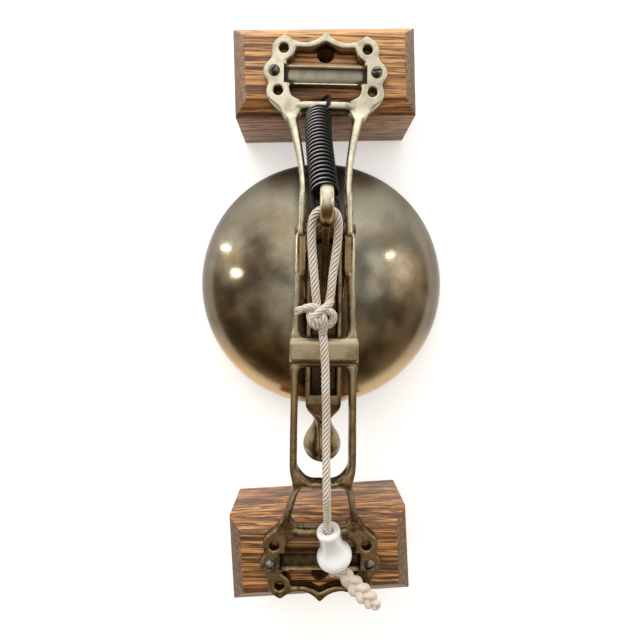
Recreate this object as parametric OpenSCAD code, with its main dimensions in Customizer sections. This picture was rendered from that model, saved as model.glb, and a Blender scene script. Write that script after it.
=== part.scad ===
// Trolley car signal bell on two oak display blocks.
// A cord turns a lever, the lever swings a hammer against the gong's rim,
// and a long spring brings both back. Millimetres, +Z away from the table,
// +Y towards the foot that holds the spring, +X along the pivot pin.

/* [Gong] */
// Outer diameter of the gong
gong_d = 206; // [150:1:260]
// Height of the gong from rim to crown
gong_h = 60; // [45:1:80]
// Wall of the gong
gong_wall = 3; // [1.5:0.1:5]
// Radius of the crown
crown_r = 140; // [115:1:220]
// Radius of the shoulder between crown and skirt
shoulder_r = 32; // [15:1:40]
// Height of the rim above the table
rim_z = 10; // [4:1:25]
// Distance of the gong's axis from the middle of the bell
gong_y = 27; // [10:1:40]

/* [Gong bolt] */
// Diameter of the gong bolt
bolt_d = 8; // [5:0.5:10]
// Across flats of the bolt's head
bolt_af = 13; // [9:1:19]
// Height of the bolt's head
bolt_head_h = 5.5; // [3:0.5:8]
// Thickness of each leather washer
pad_t = 2; // [1:0.5:4]
// Diameter of each leather washer
pad_d = 24; // [16:1:32]
// Thickness of the steel washer
washer_t = 1.6; // [0.8:0.1:3]
// Diameter of the steel washer
washer_d = 20; // [14:1:28]

/* [Oak blocks] */
// Length of each block, across the bell
block_w = 140; // [110:1:180]
// Width of each block, along the bell
block_h = 67; // [50:1:90]
// Depth of each block
block_d = 60; // [40:1:80]
// Chamfer round the front face
block_chamfer = 10; // [4:0.5:15]
// Distance between the blocks' centres
block_pitch = 375.4; // [340:0.2:420]
// How far the upper block sits turned under its foot, in degrees
top_turn = 2; // [0:0.5:5]
// How far the lower block sits turned under its foot, in degrees
bottom_turn = 3.5; // [0:0.5:5]
// Distance between the two counterbored wall holes
wall_pitch = 394; // [370:1:410]
// Diameter of the wall holes
wall_hole_d = 5.5; // [4:0.5:8]
// Diameter of the counterbore
counterbore_d = 13.5; // [9:0.5:18]
// Depth of the counterbore
counterbore_depth = 22; // [8:1:35]

/* [Feet] */
// Thickness of the foot plates
foot_t = 8; // [5:0.5:12]
// Length of a foot from crest to arms
foot_len = 60; // [50:1:75]
// How far the upper crest stands past its block's centre
top_crest_reach = 21.4; // [15:0.1:30]
// How far the lower crest stands past its block's centre
bottom_crest_reach = 30.1; // [15:0.1:33]
// Diameter of the six open screw holes of a foot's corners
foot_hole_d = 7; // [4:0.5:8]
// Half distance between the outer corner holes
outer_hole_x = 30.7; // [24:0.1:36]
// Distance of the outer corner holes from the crest
outer_hole_v = 13.6; // [11:0.1:18]
// Half distance between the inner corner holes
inner_hole_x = 34.7; // [28:0.1:40]
// Distance of the inner corner holes from the crest
inner_hole_v = 44.1; // [38:0.1:50]
// Half distance between the screws at the side lobes
lobe_x = 37.6; // [32:0.1:42]
// Distance of the screws from the crest
lobe_v = 30; // [24:0.1:36]
// Radius of metal round each corner hole
ear_r = 8.6; // [6:0.1:11]
// Width of the bare cross plate
plate_h = 13.7; // [8:0.1:18]
// How far the cross plate lies below the foot's face
plate_drop = 2; // [0.5:0.5:4]
// Radius of the round base bar that the spring hooks on
base_bar_r = 3.8; // [2.5:0.1:5]

/* [Foot screws] */
// Diameter of the round heads
screw_head_d = 8.6; // [6:0.1:11]
// Height of the round heads
screw_head_h = 3.4; // [2:0.1:5]
// Shank diameter
screw_d = 4.2; // [3:0.1:6]
// Length under the head
screw_len = 30; // [16:1:40]

/* [Bridge] */
// Depth of arms, rails and legs
rail_depth = 11; // [7:0.5:16]
// Width of a rail seen from the front
rail_w = 4.6; // [3:0.1:7]
// Half width over the rails at the pivot
rail_half_pivot = 17.8; // [17.6:0.1:22]
// Half width over the rails at the crossbar
rail_half_bar = 21.3; // [19:0.1:26]
// Half width over the rails at the stirrup
rail_half_loop = 22; // [20.2:0.1:28]
// Half width over the arms where they leave a foot
arm_half_base = 29.5; // [26:0.1:34]
// Half width over the legs under the stirrup
leg_half_top = 18.2; // [16:0.1:20]
// Clear radius in the stirrup's corners
loop_corner_r = 12; // [6:0.5:16]
// Level run of the rails beyond the pivot
pivot_to_bend = 25.5; // [16:0.5:34]
// Room between the hammer's head and the stirrup
loop_room = 4.7; // [3:0.1:16]
// How far past the stirrup's clear end the legs bend down
bend_past = 3.6; // [0:0.1:8]

/* [Crossbar and saddle] */
// Width of the crossbar along the rails
bar_h = 20; // [12:0.5:28]
// Thickness of the crossbar
bar_t = 7.5; // [5:0.5:10]
// Distance of the crossbar's upper edge from the gong's axis
bar_offset = 39.3; // [30:0.1:50]
// Thickness of the saddle that carries the gong
saddle_t = 6; // [4:0.5:9]
// Length of the saddle along the rails
saddle_len = 28; // [22:1:34]
// Clear width between the hangers
hanger_gap = 26.6; // [25.6:0.1:30]

/* [Pivot] */
// Diameter of the pivot pin
pin_d = 6.4; // [5:0.2:8]
// Distance of the pin from the gong's axis
pivot_offset = 31.5; // [28:0.5:40]
// Radius of the bosses round the pin
boss_r = 8; // [6.5:0.5:10]
// Running clearance on the pin's radius
pin_fit = 0.06; // [0.03:0.01:0.1]
// Thickness of each thrust washer
thrust_t = 0.8; // [0.5:0.1:1.2]
// How far the lugs round the pin stand out from the rails
lug_out = 1.2; // [0.4:0.1:2.5]

/* [Pull lever] */
// Outer radius of the eye
eye_r = 12.7; // [11:0.1:15]
// Clear radius of the eye
eye_hole_r = 7; // [6.8:0.1:8]
// Thickness of the eye
eye_t = 8.2; // [6:0.1:10]
// Height of the eye's centre above the pin
eye_rise = 24; // [20:0.5:30]
// How far the eye leans towards the spring
eye_lean = 10.8; // [4:0.1:14]
// Thickness of the lever's rib
rib_t = 4.5; // [2.5:0.1:7]
// Thickness of the tongue
tongue_t = 3.2; // [2:0.1:5]

/* [Hammer] */
// Depth of the hammer's channel
channel_h = 10.1; // [8:0.1:14]
// Outer width of the channel
channel_w = 24; // [22.6:0.1:24.4]
// Thickness of the channel's side walls
channel_wall = 3.3; // [2:0.1:4.5]
// Thickness of the channel's floor
channel_floor = 2.5; // [1.5:0.1:4]
// Room for the swing above the saddle
swing_room = 12.6; // [10:0.1:20]
// Largest radius of the pear-shaped head
head_r = 13.6; // [9:0.1:18]
// How far the head overlaps the gong, seen from the front
head_overlap = -1.7; // [-4:0.1:4]
// Radius of the neck where it meets the head
neck_r = 6.2; // [4:0.1:8]
// Length of the scooped yoke between the lever's tongue and the neck
yoke_len = 13.9; // [10:0.1:20]
// Length from the neck's end to the head's widest place
pear_len = 20.4; // [14:0.2:26]
// How far the head drops, in degrees
head_tilt = 18; // [0:1:25]
// How far the head's front rib stands proud
head_rib = 1.6; // [0.8:0.1:3]
// Diameter of the rivet through tongue and channel
rivet_d = 3; // [2:0.1:4]

/* [Return spring] */
// Outside diameter of the coils
spring_d = 19; // [16:0.1:22]
// Wire of the spring
spring_wire = 2.6; // [1.8:0.1:2.8]
// Number of coils
spring_coils = 22; // [12:1:24]
// How far the spring bows to the left
spring_bow = 3.8; // [0:0.1:5]

/* [Cord] */
// Diameter of the cord
cord_d = 5.5; // [4:0.1:7]
// Length of the porcelain knob
knob_len = 30; // [20:1:40]
// Radius of the knob's collar
knob_top_r = 8.5; // [6:0.1:11]
// Radius of the knob's flare
knob_flare_r = 12.9; // [10:0.1:16]

/* [Hidden] */
$fn = 48;
gap = 0.3;

// Heights, built up from the table
crown_z = rim_z + gong_h;
seat_z = crown_z - gong_wall - 0.6;
saddle_z = crown_z + pad_t;
saddle_top = saddle_z + saddle_t;
channel_z = saddle_top + swing_room;
channel_top = channel_z + channel_h;
bar_z = channel_top + gap;
rail_z = bar_z + bar_t * 2 / 3;
pivot_z = channel_top - 3.7;
foot_z = block_d + foot_t;

// Stations along the bell
pivot_y = gong_y + pivot_offset;
bar_y = gong_y - bar_offset;
head_y = gong_y - gong_d / 2 + head_overlap - head_r;
loop_y = head_y - head_r - loop_room + 0.2;
block_shift = (block_reach(bottom_turn) - block_reach(top_turn)) / 2;
top_block_y = block_pitch / 2 + block_shift;
bottom_block_y = -block_pitch / 2 + block_shift;
top_crest = top_block_y + top_crest_reach;
bottom_crest = bottom_block_y - bottom_crest_reach;
top_base = top_crest - foot_len;
bottom_base = bottom_crest + foot_len;
top_bend = pivot_y + pivot_to_bend;
bottom_bend = loop_y - bend_past;
base_bar_v = foot_len - 5;
base_bar_z = foot_z - 1.5;
plate_v = lobe_v + 1.8;

// Slopes of the arms and of the legs
arm_run = top_base - top_bend;
leg_run = bottom_bend - bottom_base;
bridge_rise = rail_z - foot_z;
arm_slope = atan2(bridge_rise, arm_run);
leg_slope = atan2(bridge_rise, leg_run);

// Widths across the pin, from the middle outwards
hanger_x = hanger_gap / 2;
channel_x = channel_w / 2;
channel_in = channel_x - channel_wall;
lever_half = channel_in - 0.4;
boss_out = rail_half_pivot + lug_out;
hanger_out = rail_half_pivot - 0.8;

// Head of the hammer: its axis dips from the neck
head_z = channel_z - head_r - 1;
neck_y = head_y + pear_len * cos(head_tilt);
neck_z = head_z + pear_len * sin(head_tilt);
function neck_face(z) = neck_y - tan(head_tilt) * (z - neck_z);

// Channel and tongue
floor_top = channel_z + channel_floor;
tongue_z = floor_top;
tongue_top = tongue_z + tongue_t;
yoke_y = neck_y + yoke_len;
tongue_end = yoke_y + 10;
rivet_y = tongue_end + 8;
eye_y = pivot_y + eye_lean;
eye_z = pivot_z + eye_rise;

// Spring line from the base bar to the inside of the eye. Each end is a
// full round loop, the one on the bar turned by hook_turn about the line.
coil_r = (spring_d - spring_wire) / 2;
hook_turn = 54;
hook_slack = 2;
loop_rest = eye_hole_r - spring_wire / 2 - 0.1;
spring_a = [-1.8, top_crest - base_bar_v, base_bar_z];
spring_b = [0.6, eye_y - 0.82 * loop_rest, eye_z - 0.57 * loop_rest];
spring_len = norm(spring_b - spring_a);
spring_dir = (spring_b - spring_a) / spring_len;
hook_c = base_bar_r + spring_wire / 2 + hook_slack - coil_r;
loop_c = spring_len - coil_r;
coil_start = coil_r - hook_c + 1.4;
coil_end = loop_c - coil_r - 1.4;

// Cord routes, laid over the parts by hand
loop_route = [
    [-4.6, 5, 114.6], [-5.9, 14, 115], [-6.9, 25, 115.6], [-8, 36, 116.6],
    [-8.9, 47, 118], [-9, 55, 119.4], [-8.3, 61, 120.7], [-6.2, 64.6, 121.5],
    [-3.2, 66.3, 121.9], [0, 66.8, 122], [3.2, 66.2, 121.9], [5.9, 64.2, 121.5],
    [7.3, 60.4, 120.7], [7.6, 55, 119.4], [7.1, 47, 118], [5.9, 38, 116.8],
    [4.5, 27, 115.6], [3.3, 15, 115], [1.2, 5, 114.6]
];
fall_route = [
    [-1, -3, 113.8], [-1.3, -8.5, 113], [-0.6, -15, 112.3], [-0.1, -21.5, 112.1],
    [0.5, -29, 112], [0.9, -38, 111.4], [1.2, -50, 111], [1.7, -64, 110.4], [1.8, -78, 109.8],
    [2, -91, 109.4], [2.2, -101, 109.2], [2.4, -108, 109.4], [2.6, -114, 109.3],
    [2.8, -120, 107.3], [3.1, -126.4, 103.3], [3.5, -133, 98.7], [3.9, -139.8, 94.1],
    [4, -145, 90.5], [5.3, -152.5, 87.3], [6.8, -158.8, 85.1], [8.1, -164.8, 83],
    [9.5, -170.9, 80.8], [10.9, -177.1, 78.6]
];
tail_route = [
    [16.5, -186.8, 77], [20, -190.8, 77.4], [24, -195, 77.6], [28.5, -199.6, 77.4],
    [32.8, -204, 76.8], [36.6, -208.4, 75.6], [39.8, -212.2, 74.2], [42, -215.2, 72.8]
];
tail_width = [6.4, 8.4, 10.6, 12, 13, 13.4, 12.6, 9];
knot_tail_route = [[-7, 6.6, 115.4], [-10, 7, 115.8], [-13, 6.2, 115.8], [-15.8, 4.6, 115.4]];
loop_knot_at = [-3.6, 2.6, 114.4];
stopper_at = [13.6, -182.2, 77.6];
knob_top_at = [4.5, -148.8, 88.6];
knob_dir = [0.209, -0.921, -0.324];

brass = [0.72, 0.66, 0.50];
dark_brass = [0.50, 0.42, 0.28];
gong_brass = [0.47, 0.43, 0.33];
oak = [0.55, 0.34, 0.17];
steel = [0.32, 0.32, 0.33];
leather = [0.36, 0.22, 0.13];
cotton = [0.86, 0.80, 0.70];
porcelain = [0.95, 0.95, 0.94];

function unit(v) = v / norm(v);

// How far a turned block stands out from its centre along the bell
function block_reach(turn) = (block_h * cos(turn) + block_w * sin(turn)) / 2;

// Direction square to each point of a path, carried along it without twist
function tangents(p) = [for (i = [0:len(p) - 1])
    unit(p[min(i + 1, len(p) - 1)] - p[max(i - 1, 0)])];
function carried(t) = [
    for (i = 0, s = abs(t[0].z) < 0.9 ? [0, 0, 1] : [0, 1, 0],
         u = unit(s - (s * t[0]) * t[0]);
         i < len(t);
         i = i + 1,
         v = i < len(t) ? u - (u * t[i]) * t[i] : u,
         u = unit(v)) u];

// Round tube swept along a list of points, d is one width or one a point
module tube(path, d, sides = 8) {
    t = tangents(path);
    u = carried(t);
    n = len(path);
    rings = [for (i = [0:n - 1]) for (k = [0:sides - 1])
        let (a = 360 * k / sides, w = cross(t[i], u[i]))
        path[i] + (is_list(d) ? d[i] : d) / 2 * (cos(a) * u[i] + sin(a) * w)];
    quads = [for (i = [0:n - 2]) for (k = [0:sides - 1])
        let (a = i * sides + k, b = i * sides + (k + 1) % sides)
        [a, a + sides, b + sides, b]];
    sides_tri = [for (q = quads) for (h = [[q[0], q[1], q[2]], [q[0], q[2], q[3]]]) h];
    ends = [for (k = [1:sides - 2]) for (h = [
        [0, k, k + 1],
        [(n - 1) * sides, (n - 1) * sides + k + 1, (n - 1) * sides + k]]) h];
    polyhedron(points = rings, faces = concat(sides_tri, ends), convexity = 6);
}

// Rectangle with round corners, centred
module round_rect(w, h, r) {
    square([w - 2 * r, h], center = true);
    square([w, h - 2 * r], center = true);
    for (x = [-1, 1], y = [-1, 1]) translate([x * (w / 2 - r), y * (h / 2 - r)]) circle(r);
}

// A profile drawn in y and z, run across the bell
module across(half) {
    rotate([90, 0, 90]) linear_extrude(2 * half, center = true) children();
}

// A cylinder along the pin's direction, centred at a place y, z
module axle(y, z, r, x0, x1) {
    translate([x0, y, z]) rotate([0, 90, 0]) cylinder(r = r, h = x1 - x0);
}

// Gong: crown arc, shoulder arc and skirt, inset by t
module dome_profile(t) {
    shoulder = [gong_d / 2 - shoulder_r, 0];
    centre_drop = sqrt(pow(crown_r - shoulder_r, 2) - pow(shoulder.x, 2));
    centre_z = gong_h - crown_r;
    skirt_z = centre_z + centre_drop;
    turn = atan2(centre_drop, shoulder.x);
    far = crown_r * 1.3;
    intersection() {
        translate([0, centre_z]) circle(crown_r - t, $fn = 180);
        translate([0, centre_z]) polygon([[0, 0], [far * cos(turn), far * sin(turn)], [0, far]]);
        translate([0, -20]) square([gong_d, gong_h + 20]);
    }
    intersection() {
        translate([shoulder.x, skirt_z]) circle(shoulder_r - t, $fn = 120);
        translate([0, skirt_z]) square([gong_d, gong_h]);
    }
    polygon([[0, -t * 2], [gong_d / 2 - t, -t * 2], [gong_d / 2 - t, skirt_z],
        [shoulder.x + (shoulder_r - t) * cos(turn), skirt_z + (shoulder_r - t) * sin(turn)],
        [0, skirt_z + (shoulder_r - t) * sin(turn)]]);
}

module gong() {
    seat_r = pad_d / 2 + 0.5;
    color(gong_brass) translate([0, gong_y, rim_z]) rotate_extrude($fn = 180) {
        difference() {
            intersection() {
                union() {
                    difference() {
                        dome_profile(0);
                        dome_profile(gong_wall);
                    }
                    translate([0, seat_z - rim_z]) square([seat_r, crown_z - seat_z]);
                    translate([gong_d / 2 - gong_wall - 1, 0]) square([gong_wall + 1, 3]);
                }
                square([gong_d, gong_h + 1]);
            }
            translate([0, gong_h - 20]) square([bolt_d / 2 + 0.5, 30]);
        }
    }
}

module ring_plate(d, hole, t) {
    difference() {
        cylinder(d = d, h = t);
        translate([0, 0, -1]) cylinder(d = hole, h = t + 2);
    }
}

module gong_pad() {
    color(leather) translate([0, gong_y, crown_z]) ring_plate(pad_d, bolt_d + 0.4, pad_t);
}

module inner_pad() {
    z = seat_z - pad_t;
    color(leather) translate([0, gong_y, z]) ring_plate(pad_d, bolt_d + 0.4, pad_t);
}

module inner_washer() {
    z = seat_z - pad_t - washer_t;
    color(steel) translate([0, gong_y, z]) ring_plate(washer_d, bolt_d + 0.4, washer_t);
}

module gong_bolt() {
    z = seat_z - pad_t - washer_t;
    color(steel) translate([0, gong_y, z]) {
        translate([0, 0, -bolt_head_h]) cylinder(d = bolt_af / cos(30), h = bolt_head_h, $fn = 6);
        translate([0, 0, -0.5]) cylinder(d = bolt_d, h = saddle_top - z);
    }
}

// Oak block with its front edges chamfered all round
module block_body() {
    c = block_chamfer;
    intersection() {
        rotate([90, 0, 0]) linear_extrude(block_h, center = true)
            polygon([[-block_w / 2, 0], [block_w / 2, 0], [block_w / 2, block_d - c],
                [block_w / 2 - c, block_d], [c - block_w / 2, block_d], [-block_w / 2, block_d - c]]);
        across(block_w / 2 + 1)
            polygon([[-block_h / 2, 0], [block_h / 2, 0], [block_h / 2, block_d - c],
                [block_h / 2 - c, block_d], [c - block_h / 2, block_d], [-block_h / 2, block_d - c]]);
    }
}

// One block with its wall hole and the pilots of its two foot screws
module oak_block(side, centre, turn, crest) {
    color(oak) difference() {
        translate([0, centre, 0]) rotate(turn) block_body();
        translate([0, side * wall_pitch / 2, -1]) cylinder(d = wall_hole_d, h = block_d + 2);
        translate([0, side * wall_pitch / 2, block_d - counterbore_depth])
            cylinder(d = counterbore_d, h = counterbore_depth + 1);
        for (x = [-lobe_x, lobe_x])
            translate([x, crest - side * lobe_v, foot_z - screw_len - 1])
                cylinder(d = screw_d + 0.1, h = screw_len + 1);
    }
}

module top_block() { oak_block(1, top_block_y, top_turn, top_crest); }

module bottom_block() { oak_block(-1, bottom_block_y, bottom_turn, bottom_crest); }

// Slotted round-head wood screw standing on a foot
module foot_screw(x, y, slot_turn) {
    dome_r = (pow(screw_head_d / 2, 2) + pow(screw_head_h, 2)) / (2 * screw_head_h);
    color(steel) translate([x, y, foot_z]) {
        difference() {
            intersection() {
                translate([0, 0, screw_head_h - dome_r]) sphere(dome_r);
                cylinder(d = screw_head_d, h = screw_head_h + 1);
            }
            rotate(slot_turn) translate([-screw_head_d, -0.6, screw_head_h - 1.5])
                cube([2 * screw_head_d, 1.2, 3]);
        }
        translate([0, 0, -screw_len + 3]) cylinder(d = screw_d, h = screw_len - 2.5);
        translate([0, 0, -screw_len]) cylinder(d1 = 0.8, d2 = screw_d, h = 3.01);
    }
}

module top_screw_left() { foot_screw(-lobe_x, top_crest - lobe_v, 52); }

module top_screw_right() { foot_screw(lobe_x, top_crest - lobe_v, 2); }

module bottom_screw_left() { foot_screw(-lobe_x, bottom_crest + lobe_v, -8); }

module bottom_screw_right() { foot_screw(lobe_x, bottom_crest + lobe_v, 24); }

// Shield outline of a foot. The crest is at the origin, v runs inwards.
module foot_outline() {
    scallop_r = 18.8;
    difference() {
        union() {
            polygon([[0, 0], [30, 2.6], [outer_hole_x + ear_r, outer_hole_v - 1.5],
                [outer_hole_x + ear_r, outer_hole_v + 6], [lobe_x + 8.3, lobe_v - 0.6],
                [inner_hole_x + ear_r - 2, inner_hole_v - 6], [inner_hole_x + ear_r, inner_hole_v],
                [inner_hole_x + ear_r - 0.8, inner_hole_v + 6], [arm_half_base + 1.2, foot_len - 3],
                [arm_half_base, foot_len - 0.6], [arm_half_base - 0.6, foot_len + 1],
                [0.6 - arm_half_base, foot_len + 1], [-arm_half_base, foot_len - 0.6],
                [-arm_half_base - 1.2, foot_len - 3],
                [0.8 - inner_hole_x - ear_r, inner_hole_v + 6], [-inner_hole_x - ear_r, inner_hole_v],
                [2 - inner_hole_x - ear_r, inner_hole_v - 6], [-lobe_x - 8.3, lobe_v - 0.6],
                [-outer_hole_x - ear_r, outer_hole_v + 6],
                [-outer_hole_x - ear_r, outer_hole_v - 1.5], [-30, 2.6]]);
            for (x = [-1, 1]) {
                translate([x * outer_hole_x, outer_hole_v]) circle(ear_r);
                translate([x * lobe_x, lobe_v]) circle(ear_r - 0.6);
                translate([x * inner_hole_x, inner_hole_v]) circle(ear_r);
            }
        }
        for (x = [-16, 16]) translate([x, -9.95]) circle(scallop_r);
    }
}

// Window of a foot: a peaked opening that the corner ears bulge into,
// and the arch below the base bar
module foot_window() {
    side_x = lobe_x - 7.6;
    difference() {
        polygon([[0, 8.4], [6, 11.6], [12, 13.4], [18, 13.2], [outer_hole_x - ear_r + 2, 12],
            [side_x, outer_hole_v + 4], [side_x, inner_hole_v - 4],
            [arm_half_base - 5, foot_len - 10], [arm_half_base - 7, foot_len + 9],
            [7 - arm_half_base, foot_len + 9], [5 - arm_half_base, foot_len - 10],
            [-side_x, inner_hole_v - 4], [-side_x, outer_hole_v + 4],
            [ear_r - outer_hole_x - 2, 12], [-18, 13.2], [-12, 13.4], [-6, 11.6]]);
        for (x = [-1, 1]) {
            translate([x * outer_hole_x, outer_hole_v]) circle(ear_r);
            translate([x * inner_hole_x, inner_hole_v]) circle(ear_r);
        }
    }
}

// Half widths of arms and legs between their foot and their bend,
// t is 0 at the foot and 1 at the bend
function arm_half(t) = rail_half_pivot - 0.9
    + (arm_half_base - rail_half_pivot + 0.9) * pow(1 - t, 1.6);
function arm_width(t) = rail_w - 0.4 + 3.6 * pow(1 - t, 2);
function leg_half(t) = leg_half_top + (arm_half_base - leg_half_top) * (1 - t);
function leg_width(t) = rail_w - 0.2 + 0.8 * pow(1 - t, 3);

// One side of the casting between the feet, in half width and place y:
// an arm with its rail, and a leg that runs up behind the stirrup
function bridge_line(inset) = concat(
    [for (t = [0:0.125:1])
        [arm_half(t) - inset * arm_width(t), top_base + 1 - t * (arm_run + 1)]],
    [[rail_half_pivot - inset * rail_w, pivot_y],
     [rail_half_bar - inset * rail_w, bar_y - bar_h / 2],
     [rail_half_loop - inset * rail_w, head_y + 10],
     [rail_half_loop - inset * rail_w, loop_y + loop_corner_r - 1]]);
function leg_line(inset) = [for (t = [0:0.125:1])
    [leg_half(t) - inset * leg_width(t), bottom_base - 1 + t * (loop_y + 5 - bottom_base)]];
function reversed(list) = [for (i = [len(list) - 1:-1:0]) list[i]];

module both_sides() {
    children();
    mirror([1, 0]) children();
}

// Places the shapes of one foot, drawn from its crest inwards
module at_feet() {
    translate([0, bottom_crest]) children();
    translate([0, top_crest]) mirror([0, 1]) children();
}

// Plan of the casting, seen from the front
module casting_plan() {
    difference() {
        at_feet() foot_outline();
        at_feet() {
            foot_window();
            for (x = [-1, 1]) {
                translate([x * outer_hole_x, outer_hole_v]) circle(d = foot_hole_d);
                translate([x * inner_hole_x, inner_hole_v]) circle(d = foot_hole_d);
                translate([x * lobe_x, lobe_v]) circle(d = screw_d + 0.4);
            }
        }
    }
    both_sides() polygon(concat(bridge_line(0), reversed(bridge_line(1))));
    difference() {
        union() {
            both_sides() polygon(concat(leg_line(0), reversed(leg_line(1))));
            loop_end(rail_half_loop, loop_y - rail_w, loop_corner_r + rail_w);
        }
        loop_end(rail_half_loop - rail_w, loop_y, loop_corner_r);
    }
}

// Round end of the stirrup, closed at y and reaching back to its corners
module loop_end(half, y, r) {
    back = loop_y + loop_corner_r;
    translate([-half + r, y]) square([2 * (half - r), back - y]);
    intersection() {
        for (x = [-1, 1]) translate([x * (half - r), y + r]) circle(r);
        translate([-half, y]) square([2 * half, back - y]);
    }
}

// Casting from the side: feet on the blocks, sloping arms and legs, level
// rails. Arms and legs are as deep as the rails, square to their slope.
module casting_side() {
    arm_deep = rail_depth / cos(arm_slope);
    leg_deep = rail_depth / cos(leg_slope);
    polygon([
        [top_crest + 1, foot_z], [top_base, foot_z], [top_bend, rail_z],
        [bottom_bend, rail_z], [bottom_base, foot_z], [bottom_crest - 1, foot_z],
        [bottom_crest - 1, block_d],
        [bottom_base + (leg_deep - foot_t) / tan(leg_slope), block_d],
        [bottom_bend + (leg_deep - rail_depth) / tan(leg_slope), rail_z - rail_depth],
        [top_bend - (arm_deep - rail_depth) / tan(arm_slope), rail_z - rail_depth],
        [top_base - (arm_deep - foot_t) / tan(arm_slope), block_d],
        [top_crest + 1, block_d]]);
}

// Crossbar with a bevelled upper edge, a flat face and a lower lip
module crossbar() {
    top = bar_z + bar_t;
    half = rail_half_bar - 0.2;
    across(half) polygon([
        [bar_y, bar_z], [bar_y, top - 4.5], [bar_y - 1, top - 2.2], [bar_y - 2.4, top - 0.6],
        [bar_y - 4, top], [bar_y - 14.6, top], [bar_y - 15.6, top - 0.8], [bar_y - 16, top - 2.6],
        [bar_y - bar_h + 0.8, top - 2.8], [bar_y - bar_h, top - 3.6], [bar_y - bar_h, bar_z]]);
}

// Hangers that carry the pin and drop down to the saddle
module hanger(x0, x1) {
    translate([x0, 0, 0]) rotate([90, 0, 90]) linear_extrude(x1 - x0) polygon([
        [pivot_y + 5, rail_z - 3], [gong_y + saddle_len / 8, rail_z - 3],
        [gong_y + saddle_len / 8 - 2, rail_z - 8],
        [gong_y - saddle_len / 2, saddle_top + 7], [gong_y - saddle_len / 2, saddle_z],
        [gong_y + saddle_len / 2, saddle_z], [pivot_y + boss_r - 1, pivot_z - 4]]);
}

// Brass casting: two feet, arms, rails, crossbar, stirrup and saddle
module frame() {
    color(brass) difference() {
        union() {
            intersection() {
                translate([0, 0, block_d - 1]) linear_extrude(rail_z - block_d + 2) casting_plan();
                across(lobe_x + 20) casting_side();
            }
            for (crest = [top_crest - base_bar_v, bottom_crest + base_bar_v])
                axle(crest, base_bar_z, base_bar_r, 3 - arm_half_base, arm_half_base - 3);
            for (crest = [top_crest - plate_v, bottom_crest + plate_v])
                translate([-lobe_x + 7, crest - plate_h / 2, block_d + 0.5])
                    cube([2 * lobe_x - 14, plate_h, foot_t - plate_drop - 0.5]);
            crossbar();
            hanger(hanger_x, hanger_out);
            hanger(-hanger_out, -hanger_x);
            axle(pivot_y, pivot_z, boss_r, hanger_x, hanger_out);
            axle(pivot_y, pivot_z, boss_r, -hanger_out, -hanger_x);
            for (x = [hanger_out, -boss_out])
                axle(pivot_y, pivot_z, pin_d / 2 + 1.5, x, x + boss_out - hanger_out);
            translate([-hanger_out, gong_y - saddle_len / 2, saddle_z])
                cube([2 * hanger_out, saddle_len, saddle_t]);
        }
        axle(pivot_y, pivot_z, pin_d / 2 + 0.02, -boss_out - 1, boss_out + 1);
        translate([0, gong_y, saddle_z - 1]) cylinder(d = bolt_d + 0.1, h = saddle_t + 2);
    }
}

module pivot_pin() {
    color(steel) union() {
        axle(pivot_y, pivot_z, pin_d / 2, -boss_out - 0.6, boss_out + 0.5);
        translate([boss_out, pivot_y, pivot_z]) rotate([0, 90, 0])
            cylinder(r1 = pin_d / 2 + 1.6, r2 = pin_d / 2 + 0.6, h = 1.4);
        translate([-boss_out - 0.6, pivot_y, pivot_z]) rotate([0, -90, 0])
            cylinder(r1 = pin_d / 2, r2 = pin_d / 2 - 0.8, h = 0.6);
    }
}

module thrust_washer(side) {
    room = hanger_x - channel_x;
    x0 = channel_x + (room - thrust_t) / 2;
    color(steel) difference() {
        axle(pivot_y, pivot_z, boss_r - 1, side > 0 ? x0 : -x0 - thrust_t,
            side > 0 ? x0 + thrust_t : -x0);
        axle(pivot_y, pivot_z, pin_d / 2 + 0.1, -hanger_x, hanger_x);
    }
}

module left_washer() { thrust_washer(-1); }

module right_washer() { thrust_washer(1); }

// Side view of the lever's rib: a curve that dies out along the tongue
module rib_profile() {
    rib_end = bar_y + 6;
    rib_top = eye_z - 2;
    run = eye_y - eye_r + 0.5 - rib_end;
    polygon(concat(
        [for (t = [0:0.1:1]) [rib_end + t * run,
            tongue_top + (rib_top - tongue_top) * pow(t, 2.6)]],
        [[eye_y - 2, eye_z - eye_r + 2], [eye_y + 6, eye_z - eye_r + 2],
         [pivot_y + 7, pivot_z + 2], [pivot_y, tongue_z], [rib_end, tongue_z]]));
}

module pull_lever() {
    color(dark_brass) difference() {
        union() {
            translate([0, eye_y, eye_z]) rotate([0, 90, 0]) rotate_extrude($fn = 96)
                translate([(eye_r + eye_hole_r) / 2, 0])
                    round_rect(eye_r - eye_hole_r, eye_t, 2);
            difference() {
                across(rib_t / 2) rib_profile();
                axle(eye_y, eye_z, (eye_r + eye_hole_r) / 2, -eye_t, eye_t);
            }
            axle(pivot_y, pivot_z, boss_r, -lever_half, lever_half);
            translate([-lever_half, tongue_end, tongue_z])
                cube([2 * lever_half, pivot_y - tongue_end, tongue_t]);
        }
        axle(pivot_y, pivot_z, pin_d / 2 + pin_fit, -channel_w, channel_w);
        translate([0, rivet_y, tongue_z - 1]) cylinder(d = rivet_d + 0.1, h = tongue_t + 2, $fn = 32);
    }
}

// Plan of the yoke: full width, then drawn in to the neck by two arcs
module yoke_plan() {
    r = 9.4;
    neck_end = neck_y + 0.9;
    difference() {
        translate([-channel_x, neck_end]) square([channel_w, yoke_y + 15 - neck_end]);
        for (x = [-1, 1]) translate([x * (neck_r + r), neck_end - 0.4]) circle(r);
    }
}

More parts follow.
